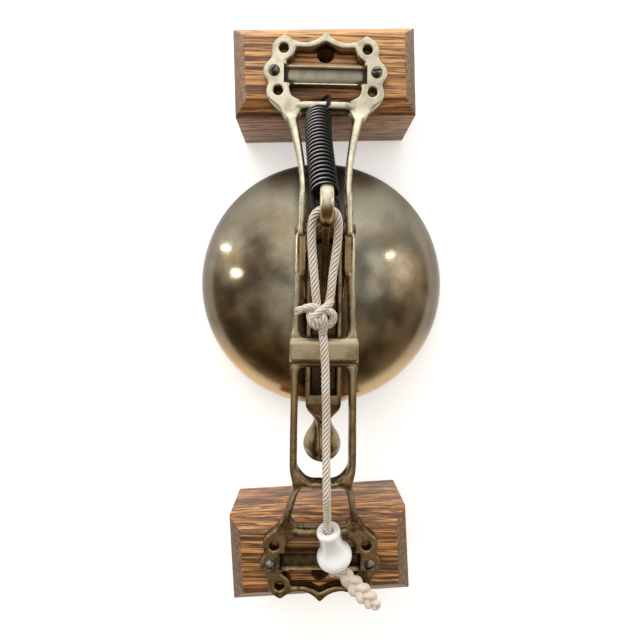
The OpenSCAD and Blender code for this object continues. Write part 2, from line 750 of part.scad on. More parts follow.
// Hammer arm: a channel that straddles the lever, closed by a scooped yoke
module hammer_arm() {
    color(dark_brass) difference() {
        union() {
            translate([-channel_x, yoke_y + 5, channel_z])
                cube([channel_w, pivot_y - yoke_y - 5, channel_h]);
            axle(pivot_y, pivot_z, boss_r, -channel_x, channel_x);
            intersection() {
                translate([0, 0, channel_z - 10]) linear_extrude(channel_h + 20) yoke_plan();
                across(channel_x + 1) polygon([
                    [yoke_y + 14, channel_z], [yoke_y + 14, channel_top],
                    [yoke_y - 0.6, channel_top], [yoke_y - 3, channel_top - 1.2],
                    [yoke_y - 5.6, channel_top - 5.4], [yoke_y - 9, channel_top - 7.4],
                    [neck_face(channel_top - 8.8), channel_top - 8.8],
                    [neck_face(neck_z - 4), neck_z - 4], [yoke_y - 7, channel_z - 2],
                    [yoke_y, channel_z]]);
            }
            translate([0, neck_y, neck_z]) rotate([90 + head_tilt, 0, 0]) {
                translate([0, 0, -9]) cylinder(r = neck_r, h = 9);
                translate([0, 0, -1]) cylinder(r = neck_r - 2.6, h = pear_len * 0.7);
            }
        }
        translate([-channel_in, yoke_y + 6, floor_top])
            cube([2 * channel_in, pivot_y + 40 - yoke_y, channel_h * 2]);
        translate([-channel_in, gong_y, channel_z - 5])
            cube([2 * channel_in, pivot_y + 40 - gong_y, channel_h * 2]);
        axle(pivot_y, pivot_z, pin_d / 2 + pin_fit, -channel_w, channel_w);
        translate([0, rivet_y, channel_z - 1]) cylinder(d = rivet_d + 0.1, h = channel_h, $fn = 32);
    }
}

// Pear: a flat-ended ball drawn out to the neck, grown by g
module pear(g) {
    end_r = head_r - 0.8;
    flat = head_r - end_r;
    rotate_extrude($fn = 72) intersection() {
        union() {
            translate([flat, pear_len]) circle(end_r + g, $fn = 96);
            polygon(concat([[0, 0]],
                [for (t = [0:0.125:1]) [neck_r + g + (head_r - neck_r) * t * t * (3 - 2 * t),
                    t * pear_len]],
                [[flat, pear_len + 1], [flat, pear_len + end_r + g], [0, pear_len + end_r + g]]));
        }
        square([head_r * 2, pear_len + head_r + g + 1]);
    }
}

module hammer_head() {
    color(brass) translate([0, neck_y, neck_z]) rotate([90 + head_tilt, 0, 0]) difference() {
        union() {
            pear(0);
            intersection() {
                pear(head_rib);
                translate([-4, 0, 0]) cube([8, head_r * 2, pear_len + head_r * 0.6]);
            }
        }
        translate([0, 0, -1]) cylinder(r = neck_r - 2.55, h = pear_len * 0.7 + 0.5);
    }
}

module tongue_rivet() {
    stem = tongue_top - channel_z;
    color(steel) translate([0, rivet_y, channel_z]) {
        cylinder(d = rivet_d, h = stem + 0.5, $fn = 32);
        translate([0, 0, stem]) cylinder(d1 = rivet_d * 2, d2 = rivet_d * 1.3, h = 1.3, $fn = 32);
    }
}

// Spring wire in the spring's own frame: a loop round the base bar, the
// coils, a little closer at the bar, and a loop through the eye
coil_steps = 8;
function bow_at(z) = -spring_bow * sin(180 * sqrt(min(1, z / spring_len)));
function in_spring(p, bow) = let (w = spring_dir, u = unit(cross(w, [0, 0, 1])), v = cross(u, w))
    spring_a - (p.x + bow) * u + p.y * v + p.z * w;
function in_hook(e, z) = in_spring([e * cos(hook_turn), e * sin(hook_turn), z], 0);
function on_coil(a, z) = in_spring([coil_r * cos(a), coil_r * sin(a), z], bow_at(z));
function on_loop(x, z) = in_spring([x, 0, z], bow_at(z));
function coil_z(t) = coil_start + (coil_end - coil_start) * (0.9 * t + 0.1 * t * t);
coil_count = coil_steps * spring_coils + 1;
first_turn = hook_turn + 41;
last_turn = first_turn + 360 * coil_count / coil_steps;
spring_points = concat(
    [in_hook(spring_wire, coil_r - hook_c)],
    [for (a = [-270:20:10]) in_hook(coil_r * cos(a), coil_r * sin(a) - hook_c)],
    [on_coil(first_turn - 45, coil_start - 2), on_coil(first_turn - 33, coil_start - 0.4)],
    [for (i = [0:coil_count]) on_coil(first_turn + 360 * i / coil_steps, coil_z(i / coil_count))],
    [on_coil(last_turn + 28, coil_end + 0.5), on_coil(last_turn + 40, coil_end + 2.4)],
    [for (a = [180:18:450]) on_loop(coil_r * cos(a), loop_c - coil_r * sin(a))],
    [on_loop(-spring_wire, loop_c - coil_r)]);

// Least gap between two stretches of the wire that are not neighbours
function path_gap(p, d, apart) = min([for (i = [0:len(p) - 1 - apart])
    for (j = [i + apart:len(p) - 1]) norm(p[i] - p[j])]) - d;

module return_spring() {
    echo(return_spring_least_gap = path_gap(spring_points, spring_wire, 6));
    color([0.06, 0.06, 0.07]) tube(spring_points, spring_wire, 6);
}

// Lump of a knot: three cord turns drawn together
module lump(at, along, across_r) {
    hull() {
        translate(at) sphere(across_r, $fn = 20);
        translate(at + along) sphere(across_r * 0.82, $fn = 20);
        translate(at - along) sphere(across_r * 0.78, $fn = 20);
    }
}

module rope_loop() {
    color(cotton) tube(loop_route, cord_d, 8);
}

module loop_knot() {
    color(cotton) {
        lump(loop_knot_at, [-1.4, 3.2, 0], 7);
        tube(knot_tail_route, cord_d * 0.9, 8);
    }
}

module rope_fall() {
    color(cotton) tube(fall_route, cord_d, 8);
}

module along_knob() {
    turn = atan2(knob_dir.y, knob_dir.x);
    translate(knob_top_at) rotate([0, 90 + asin(-knob_dir.z), turn]) children();
}

module pull_knob() {
    r = knob_flare_r;
    color(porcelain) along_knob() rotate_extrude($fn = 64) difference() {
        polygon([
            [0, 0], [knob_top_r - 1.2, 0], [knob_top_r - 0.3, 0.4], [knob_top_r, 1.3],
            [knob_top_r - 0.1, 4], [knob_top_r - 0.4, 8], [knob_top_r - 0.1, 12],
            [knob_top_r + 0.9, 16], [knob_top_r + 2.6, 19.6], [r - 0.8, 22.6],
            [r - 0.1, 24.6], [r, 26.4], [r - 0.6, 28.2], [r - 2.2, knob_len - 0.6],
            [r - 4, knob_len], [0, knob_len]]);
        translate([0, -1]) square([cord_d / 2 + 0.45, knob_len + 2]);
        polygon([[0, -1], [cord_d / 2 + 2.2, -1], [cord_d / 2 + 0.4, 2], [0, 2]]);
    }
}

module stopper_knot() {
    color(cotton) lump(stopper_at, [1.6, -1.4, 0], 5.8);
}

module rope_tail() {
    color(cotton) tube(tail_route, tail_width, 12);
}

frame();
top_block();
bottom_block();
top_screw_left();
top_screw_right();
bottom_screw_left();
bottom_screw_right();
gong();
gong_pad();
inner_pad();
inner_washer();
gong_bolt();
pivot_pin();
left_washer();
right_washer();
pull_lever();
hammer_arm();
hammer_head();
tongue_rivet();
return_spring();
rope_loop();
loop_knot();
rope_fall();
pull_knob();
stopper_knot();
rope_tail();
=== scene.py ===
import math

import bmesh
import bpy
import numpy as np
from mathutils import Matrix, Vector


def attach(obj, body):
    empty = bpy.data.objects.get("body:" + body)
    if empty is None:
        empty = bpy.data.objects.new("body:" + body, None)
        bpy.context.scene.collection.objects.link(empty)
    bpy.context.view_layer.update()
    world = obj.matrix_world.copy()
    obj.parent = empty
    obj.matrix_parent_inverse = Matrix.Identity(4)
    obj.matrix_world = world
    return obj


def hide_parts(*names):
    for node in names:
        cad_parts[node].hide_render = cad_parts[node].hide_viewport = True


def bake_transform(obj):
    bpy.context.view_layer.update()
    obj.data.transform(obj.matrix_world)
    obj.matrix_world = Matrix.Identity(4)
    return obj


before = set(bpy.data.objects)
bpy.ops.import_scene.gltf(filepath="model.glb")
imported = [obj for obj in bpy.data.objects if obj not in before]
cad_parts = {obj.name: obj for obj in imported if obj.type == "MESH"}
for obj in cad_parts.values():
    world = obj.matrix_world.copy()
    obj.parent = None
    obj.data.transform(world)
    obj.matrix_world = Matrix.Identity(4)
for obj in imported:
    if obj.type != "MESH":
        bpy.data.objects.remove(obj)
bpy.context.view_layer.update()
scene = bpy.context.scene


# Camera: straight above the bell's middle, close and wide, a little turned, so
# that it sees the lower faces of both blocks.
def placed(name, data):
    """A new object of that data, put into the scene."""
    thing = bpy.data.objects.new(name, data)
    scene.collection.objects.link(thing)
    return thing


camera_data = bpy.data.cameras.new("camera")
camera_data.sensor_width = 36
camera_data.lens = 23.878
camera_data.clip_start = 0.01
camera = placed("camera", camera_data)
camera.location = (-0.0088, 0.0059, 0.383)
camera.rotation_euler = (-0.0259, -0.0208, 0.0110)
scene.camera = camera


# Cord: one length of laid cotton sash cord, 5.5 mm thick, cream and a little
# soiled. It loops through the lever's eye, is knotted below it, and falls over
# the crossbar and the stirrup into the pull knob.
def unit(v):
    """The same direction, or rows of them, with length 1."""
    return v / np.linalg.norm(v, axis=-1, keepdims=True)


def circle(count):
    """The angles of that many places round a circle."""
    return np.linspace(0, 2 * math.pi, count, endpoint=False)


def spline(points, step):
    """Smooth line through points, in steps of about that length."""
    p = np.array(points, float)
    ends = np.vstack([2 * p[0] - p[1], p, 2 * p[-1] - p[-2]])
    line = []
    for a, b, c, d in zip(ends, ends[1:], ends[2:], ends[3:]):
        count = max(2, int(np.linalg.norm(c - b) / step))
        for t in np.arange(count) / count:
            line.append(0.5 * (2 * b + (c - a) * t + (2 * a - 5 * b + 4 * c - d) * t ** 2
                               + (3 * b - a - 3 * c + d) * t ** 3))
    return np.array(line + [p[-1]])


def run(line):
    """Distance along a line at each of its points."""
    return np.concatenate([[0], np.cumsum(np.linalg.norm(np.diff(line, axis=0), axis=1))])


def skin(rows, around, closed=False):
    """Faces between rings of points: the last ring meets the first, or both are capped."""
    faces = [(i * around + k, i * around + (k + 1) % around,
              (i + 1) % rows * around + (k + 1) % around, (i + 1) % rows * around + k)
             for i in range(rows if closed else rows - 1) for k in range(around)]
    if not closed:
        faces += [tuple(range(around))[::-1],
                  tuple((rows - 1) * around + k for k in range(around))]
    return faces


def tube(line, radius, around):
    """Points and faces of a capped tube that isn't twisted. radius has a row for each ring."""
    along = unit(np.gradient(line, axis=0))
    first = np.zeros_like(along)
    v = np.array([0, 0, 1.0]) if abs(along[0][2]) < 0.9 else np.array([0, 1.0, 0])
    for i, t in enumerate(along):
        v = unit(v - (v @ t) * t)
        first[i] = v
    second = np.cross(along, first)
    angle = circle(around)[None, :, None]
    points = line[:, None] + radius[:, :, None] * (np.cos(angle) * first[:, None]
                                                   + np.sin(angle) * second[:, None])
    return points.reshape(-1, 3), skin(len(line), around)


def join_parts(parts):
    """One list of points and one of faces, from several."""
    points, faces, start = [], [], 0
    for p, f in parts:
        points.append(p)
        faces += [tuple(i + start for i in face) for face in f]
        start += len(p)
    return np.vstack(points), faces


def mesh_piece(name, mesh, body, slot, material, replaced=(), sharp=0.6):
    """A piece that moves with a body and stands for nodes of the solid part."""
    mesh.shade_smooth()
    mesh.set_sharp_from_angle(angle=sharp)
    mesh.materials.append(material)
    piece = placed(name, mesh)
    if body:
        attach(piece, body)
    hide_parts(*replaced)
    return piece


def add_piece(name, points, faces, *dress, **more):
    """The same, from points in millimetres and their faces."""
    mesh = bpy.data.meshes.new(name)
    mesh.from_pydata((np.array(points) * 0.001).tolist(), [], faces)
    mesh.update()
    return mesh_piece(name, mesh, *dress, **more)


def point_values(piece, name, values):
    """Values at a piece's points, or one for all, that its material reads."""
    values = np.full(len(piece.data.vertices), values, np.float32)
    piece.data.attributes.new(name, "FLOAT", "POINT").data.foreach_set("value", values)


def fill(tree, made, sockets):
    """Fill a node's sockets: the outputs of other nodes are linked, values are set."""
    for name, value in sockets.items():
        socket = made.inputs[name]
        if isinstance(value, bpy.types.NodeSocket):
            tree.links.new(value, socket)
        else:
            socket.default_value = (*value, 1) if socket.type == "RGBA" else value


def node(tree, kind, output, sockets, **settings):
    """Add a node and give back one of its outputs."""
    made = tree.nodes.new("ShaderNode" + kind)
    for name, value in settings.items():
        setattr(made, name, value)
    fill(tree, made, sockets)
    return made.outputs[output]


def new_material(name):
    made = bpy.data.materials.new(name)
    made.use_nodes = True
    return made, made.node_tree


def surface(tree, sockets):
    """What the material's own shader gets."""
    fill(tree, tree.nodes["Principled BSDF"], sockets)


def place_on(tree):
    """The place on the piece, which all the textures follow."""
    return node(tree, "TexCoord", "Object", {})


def attribute(tree, name):
    return node(tree, "Attribute", "Fac", {}, attribute_name=name)


def noise(tree, vector, scale, detail=2, roughness=0.5, distortion=0):
    return node(tree, "TexNoise", "Fac", {"Vector": vector, "Scale": scale, "Detail": detail,
                                          "Roughness": roughness, "Distortion": distortion})


def maths(tree, operation, *values):
    return node(tree, "Math", "Value", dict(enumerate(values)), operation=operation)


def mix(tree, factor, a, b, blend="MIX"):
    """Colour a, and towards a factor of 1 colour b."""
    return node(tree, "Mix", "Result", {"Factor": factor, "A": a, "B": b},
                data_type="RGBA", blend_type=blend)


def ramp(tree, value, *stops):
    """A colour for each value, from pairs of a value and the colour there."""
    made = tree.nodes.new("ShaderNodeValToRGB")
    colours = made.color_ramp.elements
    for element, (at, colour) in ((colours[0], stops[0]), (colours[1], stops[-1])):
        element.position, element.color = at, (*colour, 1)
    for at, colour in stops[1:-1]:
        colours.new(at).color = (*colour, 1)
    fill(tree, made, {"Fac": value})
    return made.outputs["Color"]


def bump(tree, height, strength, distance, **settings):
    return node(tree, "Bump", "Normal", {"Height": height, "Strength": strength,
                                         "Distance": distance}, **settings)


cord_depth = 0.28  # how deep the valleys between the yarns go, as a share of the radius


def laid(line, diameter, yarns=6, around=56, pitch=19.0, taper=1.0, depth=cord_depth):
    """A laid cord: yarn ridges that wind round a tube. Also gives the valleys."""
    turned = circle(around)[None, :] - 2 * math.pi * run(line)[:, None] / pitch
    ridge = np.abs(np.sin(yarns / 2 * turned)) ** 0.7
    radius = diameter / 2 * (1 - depth + depth * ridge) * np.reshape(taper, (-1, 1))
    return (*tube(line, radius, around), ((1 - ridge) * depth / cord_depth).ravel())


def laid_piece(name, strands, replaced=(), diameter=5.5, **how):
    """Laid strands as one piece that goes with the cord."""
    parts, valleys = [], []
    for strand in strands:
        p, f, v = laid(strand, diameter, **how)
        parts.append((p, f))
        valleys.append(v)
    piece = add_piece(name, *join_parts(parts), "cord", "cotton_cord", cotton, replaced, sharp=3)
    point_values(piece, "valley", np.concatenate(valleys))
    return piece


cream, soiled, painted_valley_shade = (0.90, 0.825, 0.74), (0.70, 0.595, 0.48), (0.11, 0.075, 0.045)
cotton, tree = new_material("cotton")
place = place_on(tree)
yarn = ramp(tree, noise(tree, place, 45), (0.3, soiled), (0.62, cream))
# Painted shade: the valleys between the yarns are darkened towards a deep grey-brown.
in_valleys = maths(tree, "POWER", attribute(tree, "valley"), 0.9)
fibres = noise(tree, place, 900, 4)
surface(tree, {"Base Color": mix(tree, in_valleys, yarn, painted_valley_shade), "Roughness": 0.85,
               "Sheen Weight": 0.25, "Normal": bump(tree, fibres, 0.5, 0.0004)})

loop_route = [
    (-4.6, 5, 114.6), (-5.9, 14, 115), (-6.9, 25, 115.6), (-8, 36, 116.6),
    (-8.9, 47, 118), (-9, 55, 119.4), (-8.3, 61, 120.7), (-6.2, 64.6, 121.5),
    (-3.2, 66.3, 121.9), (0, 66.8, 122), (3.2, 66.2, 121.9), (5.9, 64.2, 121.5),
    (7.3, 60.4, 120.7), (7.6, 55, 119.4), (7.1, 47, 118), (5.9, 38, 116.8),
    (4.5, 27, 115.6), (3.3, 15, 115), (1.2, 5, 114.6)]
fall_route = [
    (-1, -3, 113.8), (-1.3, -8.5, 113), (-0.6, -15, 112.3), (-0.1, -21.5, 112.1),
    (0.5, -29, 112), (0.9, -38, 111.4), (1.2, -50, 111), (1.7, -64, 110.4),
    (1.8, -78, 109.8), (2, -91, 109.4), (2.2, -101, 109.2), (2.4, -108, 109.4),
    (2.6, -114, 109.3), (2.8, -120, 107.3), (3.1, -126.4, 103.3), (3.5, -133, 98.7),
    (3.9, -139.8, 94.1), (4, -145, 90.5), (5.3, -152.5, 87.3), (6.8, -158.8, 85.1),
    (8.1, -164.8, 83), (9.5, -170.9, 80.8), (10.9, -177.1, 78.6)]
loop_line, fall_line = spline(loop_route, 0.42), spline(fall_route, 0.42)
cord_loop = laid_piece("cord_loop", [loop_line], ["rope_loop"])
cord_fall = laid_piece("cord_fall", [fall_line], ["rope_fall"])


# Knot of the loop: tied in the same cotton cord. Two bands lie across its
# front, a lobe stands out at the right and a short frayed end at the left.
knot_strands = [spline(points, 1) for points in (
    [(-4.8, 6.4, 114.4), (-3.4, 3, 114), (-1.6, -0.6, 113.8), (-0.9, -3.6, 113.8)],
    [(3.6, 11.4, 114.4), (2.6, 9.2, 117.2), (-0.6, 6.4, 119.4), (-4.4, 3.4, 119.6),
     (-7.6, 0.2, 118), (-8.6, -2.6, 115.2)],
    [(-7.4, 7.6, 114.2), (-9.2, 4.4, 115.6), (-9.2, 0.4, 116.4), (-7.6, -3.2, 116.8),
     (-4.6, -5, 116), (-2.4, -4.4, 114.4)],
    [(-8.4, 2.6, 116), (-6.6, 0, 118.2), (-4.2, -2, 118.4), (-2.6, -4, 116.2)],
    [(-0.6, 5, 118), (2.6, 4.6, 118.6), (5, 2.2, 117.6), (4.8, -1.2, 116.4),
     (2.6, -3.8, 115.4), (0, -4.6, 114.4)],
    [(-2.8, 4, 117), (-1.4, 1.2, 119), (-0.4, -2.4, 118.4), (-0.7, -6.2, 115.9),
     (-1.2, -9.6, 113.6)],
    [(-3.4, 5.2, 116.4), (-6.6, 7, 117.6), (-10, 7, 117.6), (-13.4, 6, 116.8)])]
knot = laid_piece("knot", knot_strands, ["loop_knot"], diameter=5.2)
knot_yarns = []
for i in range(9):
    c, s = math.cos(2 * math.pi * i / 9), math.sin(2 * math.pi * i / 9)
    knot_yarns.append(spline([(-13.4, 5.8 + 1.2 * c, 116.7 + 1.2 * s),
                              (-15.4, 5.2 + 1.8 * c, 116.6 + 1.6 * s),
                              (-17.2 - 0.8 * (i % 3), 4.6 + 2.2 * c, 116.4 + 1.9 * s)], 0.8))
loose_yarn = {"yarns": 3, "around": 12, "pitch": 5}
knot_fray = laid_piece("knot_fray", knot_yarns, diameter=1.5, **loose_yarn)


# Stopper knot: two turns of the cord drawn tight under the knob, which they
# keep from sliding off.
knob_dir = unit(np.array([0.209, -0.921, -0.324]))
knob_side = unit(np.cross(knob_dir, (0, 0, 1)))
knob_front = np.cross(knob_side, knob_dir)
stopper_strands = []
for k, (down, radius) in enumerate([(-1.6, 3.4), (1.8, 3.2)]):
    middle = np.array([13.6, -182.2, 77.6]) + down * knob_dir
    stopper_strands.append(np.array([
        middle + radius * (math.cos(a) * knob_side + math.sin(a) * knob_front)
        + 1.5 * knob_dir * math.sin(a / 2 + k) for a in np.linspace(0.4, 6.6, 40)]))
stopper_strands.append(spline([(12, -178.6, 78.4), (14, -183, 77.8), (17.4, -187.6, 77)], 0.8))
stopper_knot = laid_piece("stopper", stopper_strands, ["stopper_knot"], diameter=4.4)


# Tail: the cord's loose end below the stopper knot, opened into three thick
# strands of soft yarn that are plaited into a leaf and left to fray.
tail_route = [
    (16.5, -186.8, 77), (20, -190.8, 77.4), (24, -195, 77.6), (28.5, -199.6, 77.4),
    (32.8, -204, 76.8), (36.6, -208.4, 75.6), (39.8, -212.2, 74.2), (42, -215.2, 72.8)]
tail_line = spline(tail_route, 0.6)
share = run(tail_line) / run(tail_line)[-1]
leaf = 0.9 + 3.7 * np.sin(math.pi * np.clip(share * 0.8 + 0.06, 0, 1)) ** 0.8
leaf_side = unit(np.cross(np.gradient(tail_line, axis=0), (0, 0, 1)))
strands = []
for k in range(3):
    turn = 2 * math.pi * (share * 1.45 + k / 3)
    strands.append(tail_line + (leaf * np.sin(turn))[:, None] * leaf_side
                   + (1.5 * np.sin(2 * turn))[:, None] * np.array([0, 0, 1.0]))
cord_tail = laid_piece("plait", strands, ["rope_tail"], diameter=5.9, yarns=9, around=54,
                       pitch=55, taper=1 - 0.45 * share ** 4, depth=0.09)
tail_yarns = []
for a in circle(12):
    base = tail_line[-4] + (2.2 * math.cos(a), 2.0 * math.sin(a), 1.2 * math.sin(3 * a))
    tip = base + (1.2 + 0.5 * math.cos(a), -1.3 + 0.6 * math.sin(2 * a), -0.8)
    tail_yarns.append(spline([base + (-2, 2.4, 0), base, tip], 0.8))
for i in range(5):
    c, s = math.cos(1.2 * i), math.sin(1.2 * i)
    tail_yarns.append(spline([(13, -184, 76), (11.4 - 0.5 * i, -186.6 - s, 76 + c),
                              (10.6 - 0.9 * i, -190.4 + c, 75.4 + s)], 0.8))
tail_fray = laid_piece("plait_fray", tail_yarns, diameter=1.6, **loose_yarn)


# Pull knob: a hollow bell-shaped insulator of white glazed porcelain, turned
# on a wheel, with a rolled collar and a flared skirt. The cord runs through it.
def lathe(profile, turns=96, closed=False):
    """Points and faces of a shape turned about Z from (radius, height) pairs."""
    p, angle = np.array(profile, float), circle(turns)
    points = np.stack([np.outer(p[:, 0], np.cos(angle)), np.outer(p[:, 0], np.sin(angle)),
                       np.repeat(p[:, 1:2], turns, axis=1)], axis=2)
    return points.reshape(-1, 3), skin(len(p), turns, closed)


def outward(piece):
    """Close the seams and turn all faces out."""
    b = bmesh.new()
    b.from_mesh(piece.data)
    bmesh.ops.remove_doubles(b, verts=b.verts, dist=1e-7)
    bmesh.ops.recalc_face_normals(b, faces=b.faces)
    b.to_mesh(piece.data)
    b.free()


glaze, tree = new_material("glaze")
milky = ramp(tree, noise(tree, place_on(tree), 60), (0, (0.80, 0.81, 0.83)), (1, (0.88,) * 3))
surface(tree, {"Base Color": milky, "Roughness": 0.22, "Coat Weight": 0.6,
               "Coat Roughness": 0.06})

knob_profile = [
    (3.2, 2.2), (4.2, 0.7), (5.6, 0.05), (7.2, 0.3), (8.2, 1.2), (8.5, 2.4), (8.3, 4.5),
    (8.0, 8), (8.1, 12), (8.7, 15.6), (10.1, 19), (11.8, 21.9), (12.7, 24.2), (12.8, 26.2),
    (12.2, 28), (10.8, 29.4), (9.2, 29.9), (8.2, 28.8), (6.4, 26.4), (4.6, 24), (3.3, 21)]
collar_at = (4.5, -148.8, 88.6)
smooth_profile = spline([(r, z, 0) for r, z in knob_profile], 0.5)[:, :2]
knob_points, knob_faces = lathe(smooth_profile, 128, closed=True)
knob_points = knob_points @ np.column_stack([-knob_side, knob_front, knob_dir]).T + collar_at
knob = add_piece("knob", knob_points, knob_faces, "cord", "porcelain", glaze, ["pull_knob"],
                 sharp=3)
outward(knob)


# Casting: the bell's frame, one brass casting screwed to the blocks, pale
# above and brown below. It is drawn flat as a plan of signed distances, given
# its relief, and bent along a side line: foot, arms, rails, stirrup, legs, foot.
def axis(tree, vector, name):
    return node(tree, "SeparateXYZ", name, {"Vector": vector})


def between(tree, value, start, end, low=0, high=1):
    """low at start, high at end, and a straight rise between them."""
    return node(tree, "MapRange", "Result", {"Value": value, "From Min": start, "From Max": end,
                                             "To Min": low, "To Max": high})


def brass(name, pale, dark, deep, rough, scale, browner=0.0):
    """Cast brass: pale above, brown below, dark in the hollows, spotted at the lower end; the brown
    and hollow marks also carry painted shade.
    """
    made, tree = new_material(name)
    place = place_on(tree)
    up_bell = axis(tree, place, "Y")
    grain = noise(tree, place, scale * 12, 5)
    tone = ramp(tree, noise(tree, place, scale, 6, 0.62), (0.30, dark), (0.54, pale))
    # The brown mark is painted shade: it browns parts that lie in the frame's own shade.
    browned = maths(tree, "MAXIMUM", between(tree, up_bell, 0.09, -0.06, 0, browner),
                    attribute(tree, "brown"))
    bronze = mix(tree, browned, tone, (0.52, 0.39, 0.25), "MULTIPLY")
    spots = between(tree, noise(tree, place, 210, 4, 0.7), 0.50, 0.64, 0, 0.8)
    spotted = maths(tree, "MULTIPLY", spots, between(tree, up_bell, -0.04, -0.12))
    patina = mix(tree, spotted, bronze, (0.045, 0.04, 0.024))
    # The hollow mark darkens towards deep: patina in real recesses, painted shade on side walls,
    # backs and parts under the frame.
    surface(tree, {"Base Color": mix(tree, attribute(tree, "hollow"), patina, deep),
                   "Roughness": between(tree, grain, 0.35, 0.7, rough + 0.10, rough - 0.04),
                   "Normal": bump(tree, grain, 0.12, 0.0003), "Metallic": 1})
    return made


def blend_in(a, b, k):
    """Smooth union of two distances."""
    h = np.clip(0.5 + 0.5 * (b - a) / k, 0, 1)
    return b * (1 - h) + a * h - k * h * (1 - h)


def cut_out(a, b, k):
    return -blend_in(-a, b, k)


def disc(x, y, cx, cy, r):
    """Signed distance to a circle, less than 0 inside."""
    return np.hypot(x - cx, y - cy) - r


def plate(x, y, cx, cy, w, h):
    """Signed distance to a rectangle w wide and h high."""
    qx, qy = np.abs(x - cx) - w / 2, np.abs(y - cy) - h / 2
    return np.hypot(np.maximum(qx, 0), np.maximum(qy, 0)) + np.minimum(np.maximum(qx, qy), 0)


def outline(x, y, corners):
    """Signed distance to a polygon."""
    best, within = np.full(x.shape, 1e9), np.zeros(x.shape, bool)
    for (px, py), (qx, qy) in zip(corners, corners[1:] + corners[:1]):
        ex, ey = qx - px, qy - py
        t = np.clip(((x - px) * ex + (y - py) * ey) / (ex * ex + ey * ey), 0, 1)
        best = np.minimum(best, np.hypot(x - px - t * ex, y - py - t * ey))
        if ey:
            within ^= ((py > y) != (qy > y)) & (x < px + ex * (y - py) / ey)
    return np.where(within, -best, best)


def strip(x, half, width):
    """Signed distance to a strip whose outer side is half away from the middle."""
    return np.abs(x - half + width / 2) - width / 2


def step(a, b, v):
    """Smooth rise from 0 at a to 1 at b."""
    t = np.clip((v - a) / (b - a), 0, 1)
    return t * t * (3 - 2 * t)


def spread(a, mask, n):
    """Mean of a over n grid places around each place, inside the mask only."""
    total, weight = np.where(mask, a, 0.0), mask.astype(float)
    for way in (0, 1):
        for _ in range(2):
            total = sum(np.roll(total, k, way) for k in range(-n, n + 1))
            weight = sum(np.roll(weight, k, way) for k in range(-n, n + 1))
    return total / np.maximum(weight, 1e-9)


pale_brass = brass("pale_brass", (0.60, 0.555, 0.435), (0.34, 0.305, 0.22),
                   (0.035, 0.027, 0.016), 0.26, 90, 0.95)

# The stations up the bell: each foot's crest and base, and the bends at the
# rails. x and y are the grid, ax the distance from the bell's middle line.
top_crest, top_base, top_bend = 209.994, 149.994, 84.0
low_bend, low_base, low_crest = -113.0, -156.906, -216.906
ys = np.arange(-218.6, 211.8, 0.7)
x, y = np.meshgrid(np.arange(-87, 88) * 0.547, ys)
ax = np.abs(x)
down_feet = (top_crest - y, y - low_crest)

# Feet, each measured down from its crest: a scalloped shield with two bolt
# lobes and a screw ear on each side, a window, a cross bar and a base bar.
foot_corners = [(-3, 0), (0, 0), (30, 2.6), (39.3, 12.1), (39.3, 19.6), (45.4, 29.4), (41.3, 38.1),
                (43.3, 44.1), (42.5, 50.1), (35.5, 55.5), (30.8, 59), (29.2, 61), (-3, 61)]
window_corners = [(-3, 8.0), (0, 8.4), (6, 11.6), (12, 13.4), (18, 13.2), (24.1, 12), (30, 17.6),
                  (30, 40.1), (24.5, 49.5), (22.8, 58), (22.4, 70), (-3, 70)]
upper_lobe, ear, lower_lobe = (30.7, 13.6, 8.6), (37.6, 30, 8), (34.7, 44.1, 8.6)
base_bar_v, base_bar_r = 55, 3.8
plan, holes, foot_bars = (np.full(x.shape, 1e9) for _ in range(3))
for v in down_feet:
    shield = outline(ax, v, foot_corners)
    for lobe, k in ((upper_lobe, 1.5), (ear, 2), (lower_lobe, 1.5)):
        shield = blend_in(shield, disc(ax, v, *lobe), k)
    shield = cut_out(shield, disc(ax, v, 16, -9.95, 18.8), 1.2)
    window = outline(ax, v, window_corners)
    for lobe, k in ((upper_lobe, 2), (lower_lobe, 3)):
        window = cut_out(window, disc(ax, v, *lobe), k)
    foot = blend_in(cut_out(shield, window, 1.5), plate(x, v, 0, base_bar_v, 54, 7.0), 7)
    foot_bar = plate(x, v, 0, 31.8, 62, 13.7)
    foot_bars = np.minimum(foot_bars, foot_bar)
    plan = np.minimum(plan, np.where(v < 64, blend_in(foot, foot_bar, 1.5), 1e9))
    for (hole_x, hole_v, _), r in ((upper_lobe, 3.5), (lower_lobe, 3.5), (ear, 2.3)):
        holes = np.minimum(holes, disc(ax, v, hole_x, hole_v, r))

# Splayed arms above, legs below, and between them the rails, which close in a
# round stirrup and carry the crossbar and the two pads over the pin.
t = np.clip((top_base - y) / (top_base - top_bend), 0, 1)
arms = strip(ax, 16.9 + 12.6 * (1 - t) ** 1.6, 4.3 + 3.6 * (1 - t) ** 2)
arms = np.maximum(np.maximum(arms, top_bend - 2 - y), y - 158)
t = np.clip((y - low_base + 1) / (-104.4 - low_base), 0, 1)
legs = strip(ax, 29.5 - 11.3 * t, 4.4 + 0.9 * (1 - t) ** 3)
legs = np.maximum(np.maximum(legs, y + 105.4), -165 - y)
stirrup_y, stirrup_half, stirrup_r, rail_half = -97.4, 19.7, 14.3, 2.3
from_rail = ax - np.interp(y, [-120, stirrup_y, -81, -22.3, 28, 58.5, 84],
                           [stirrup_half] * 3 + [19.1, 17.2, 15.6, 14.8])
in_bow = np.maximum(from_rail + stirrup_r, 0)
curve = np.where(y > stirrup_y, from_rail, np.hypot(in_bow, stirrup_y - y) - stirrup_r)
rails = np.maximum(np.abs(curve) - rail_half, y - top_bend - 2)
rails = np.where(y < -118, 1e9, rails)
crossbar = plate(x, y, 0, -22.3, 42.2, 20)
pads = plate(ax, y, 16.2, 41.6, 6.4, 26)
for limb, k in ((np.minimum(arms, rails), 7), (legs, 7), (crossbar, 6), (pads, 2)):
    plan = blend_in(plan, limb, k)
in_stirrup = (y < stirrup_y) & (curve < -rail_half) & (y > -112)
plan = np.where(in_stirrup, np.maximum(plan, -rail_half - curve), plan)
plan = np.maximum(spread(plan, np.ones(plan.shape, bool), 2), -holes)

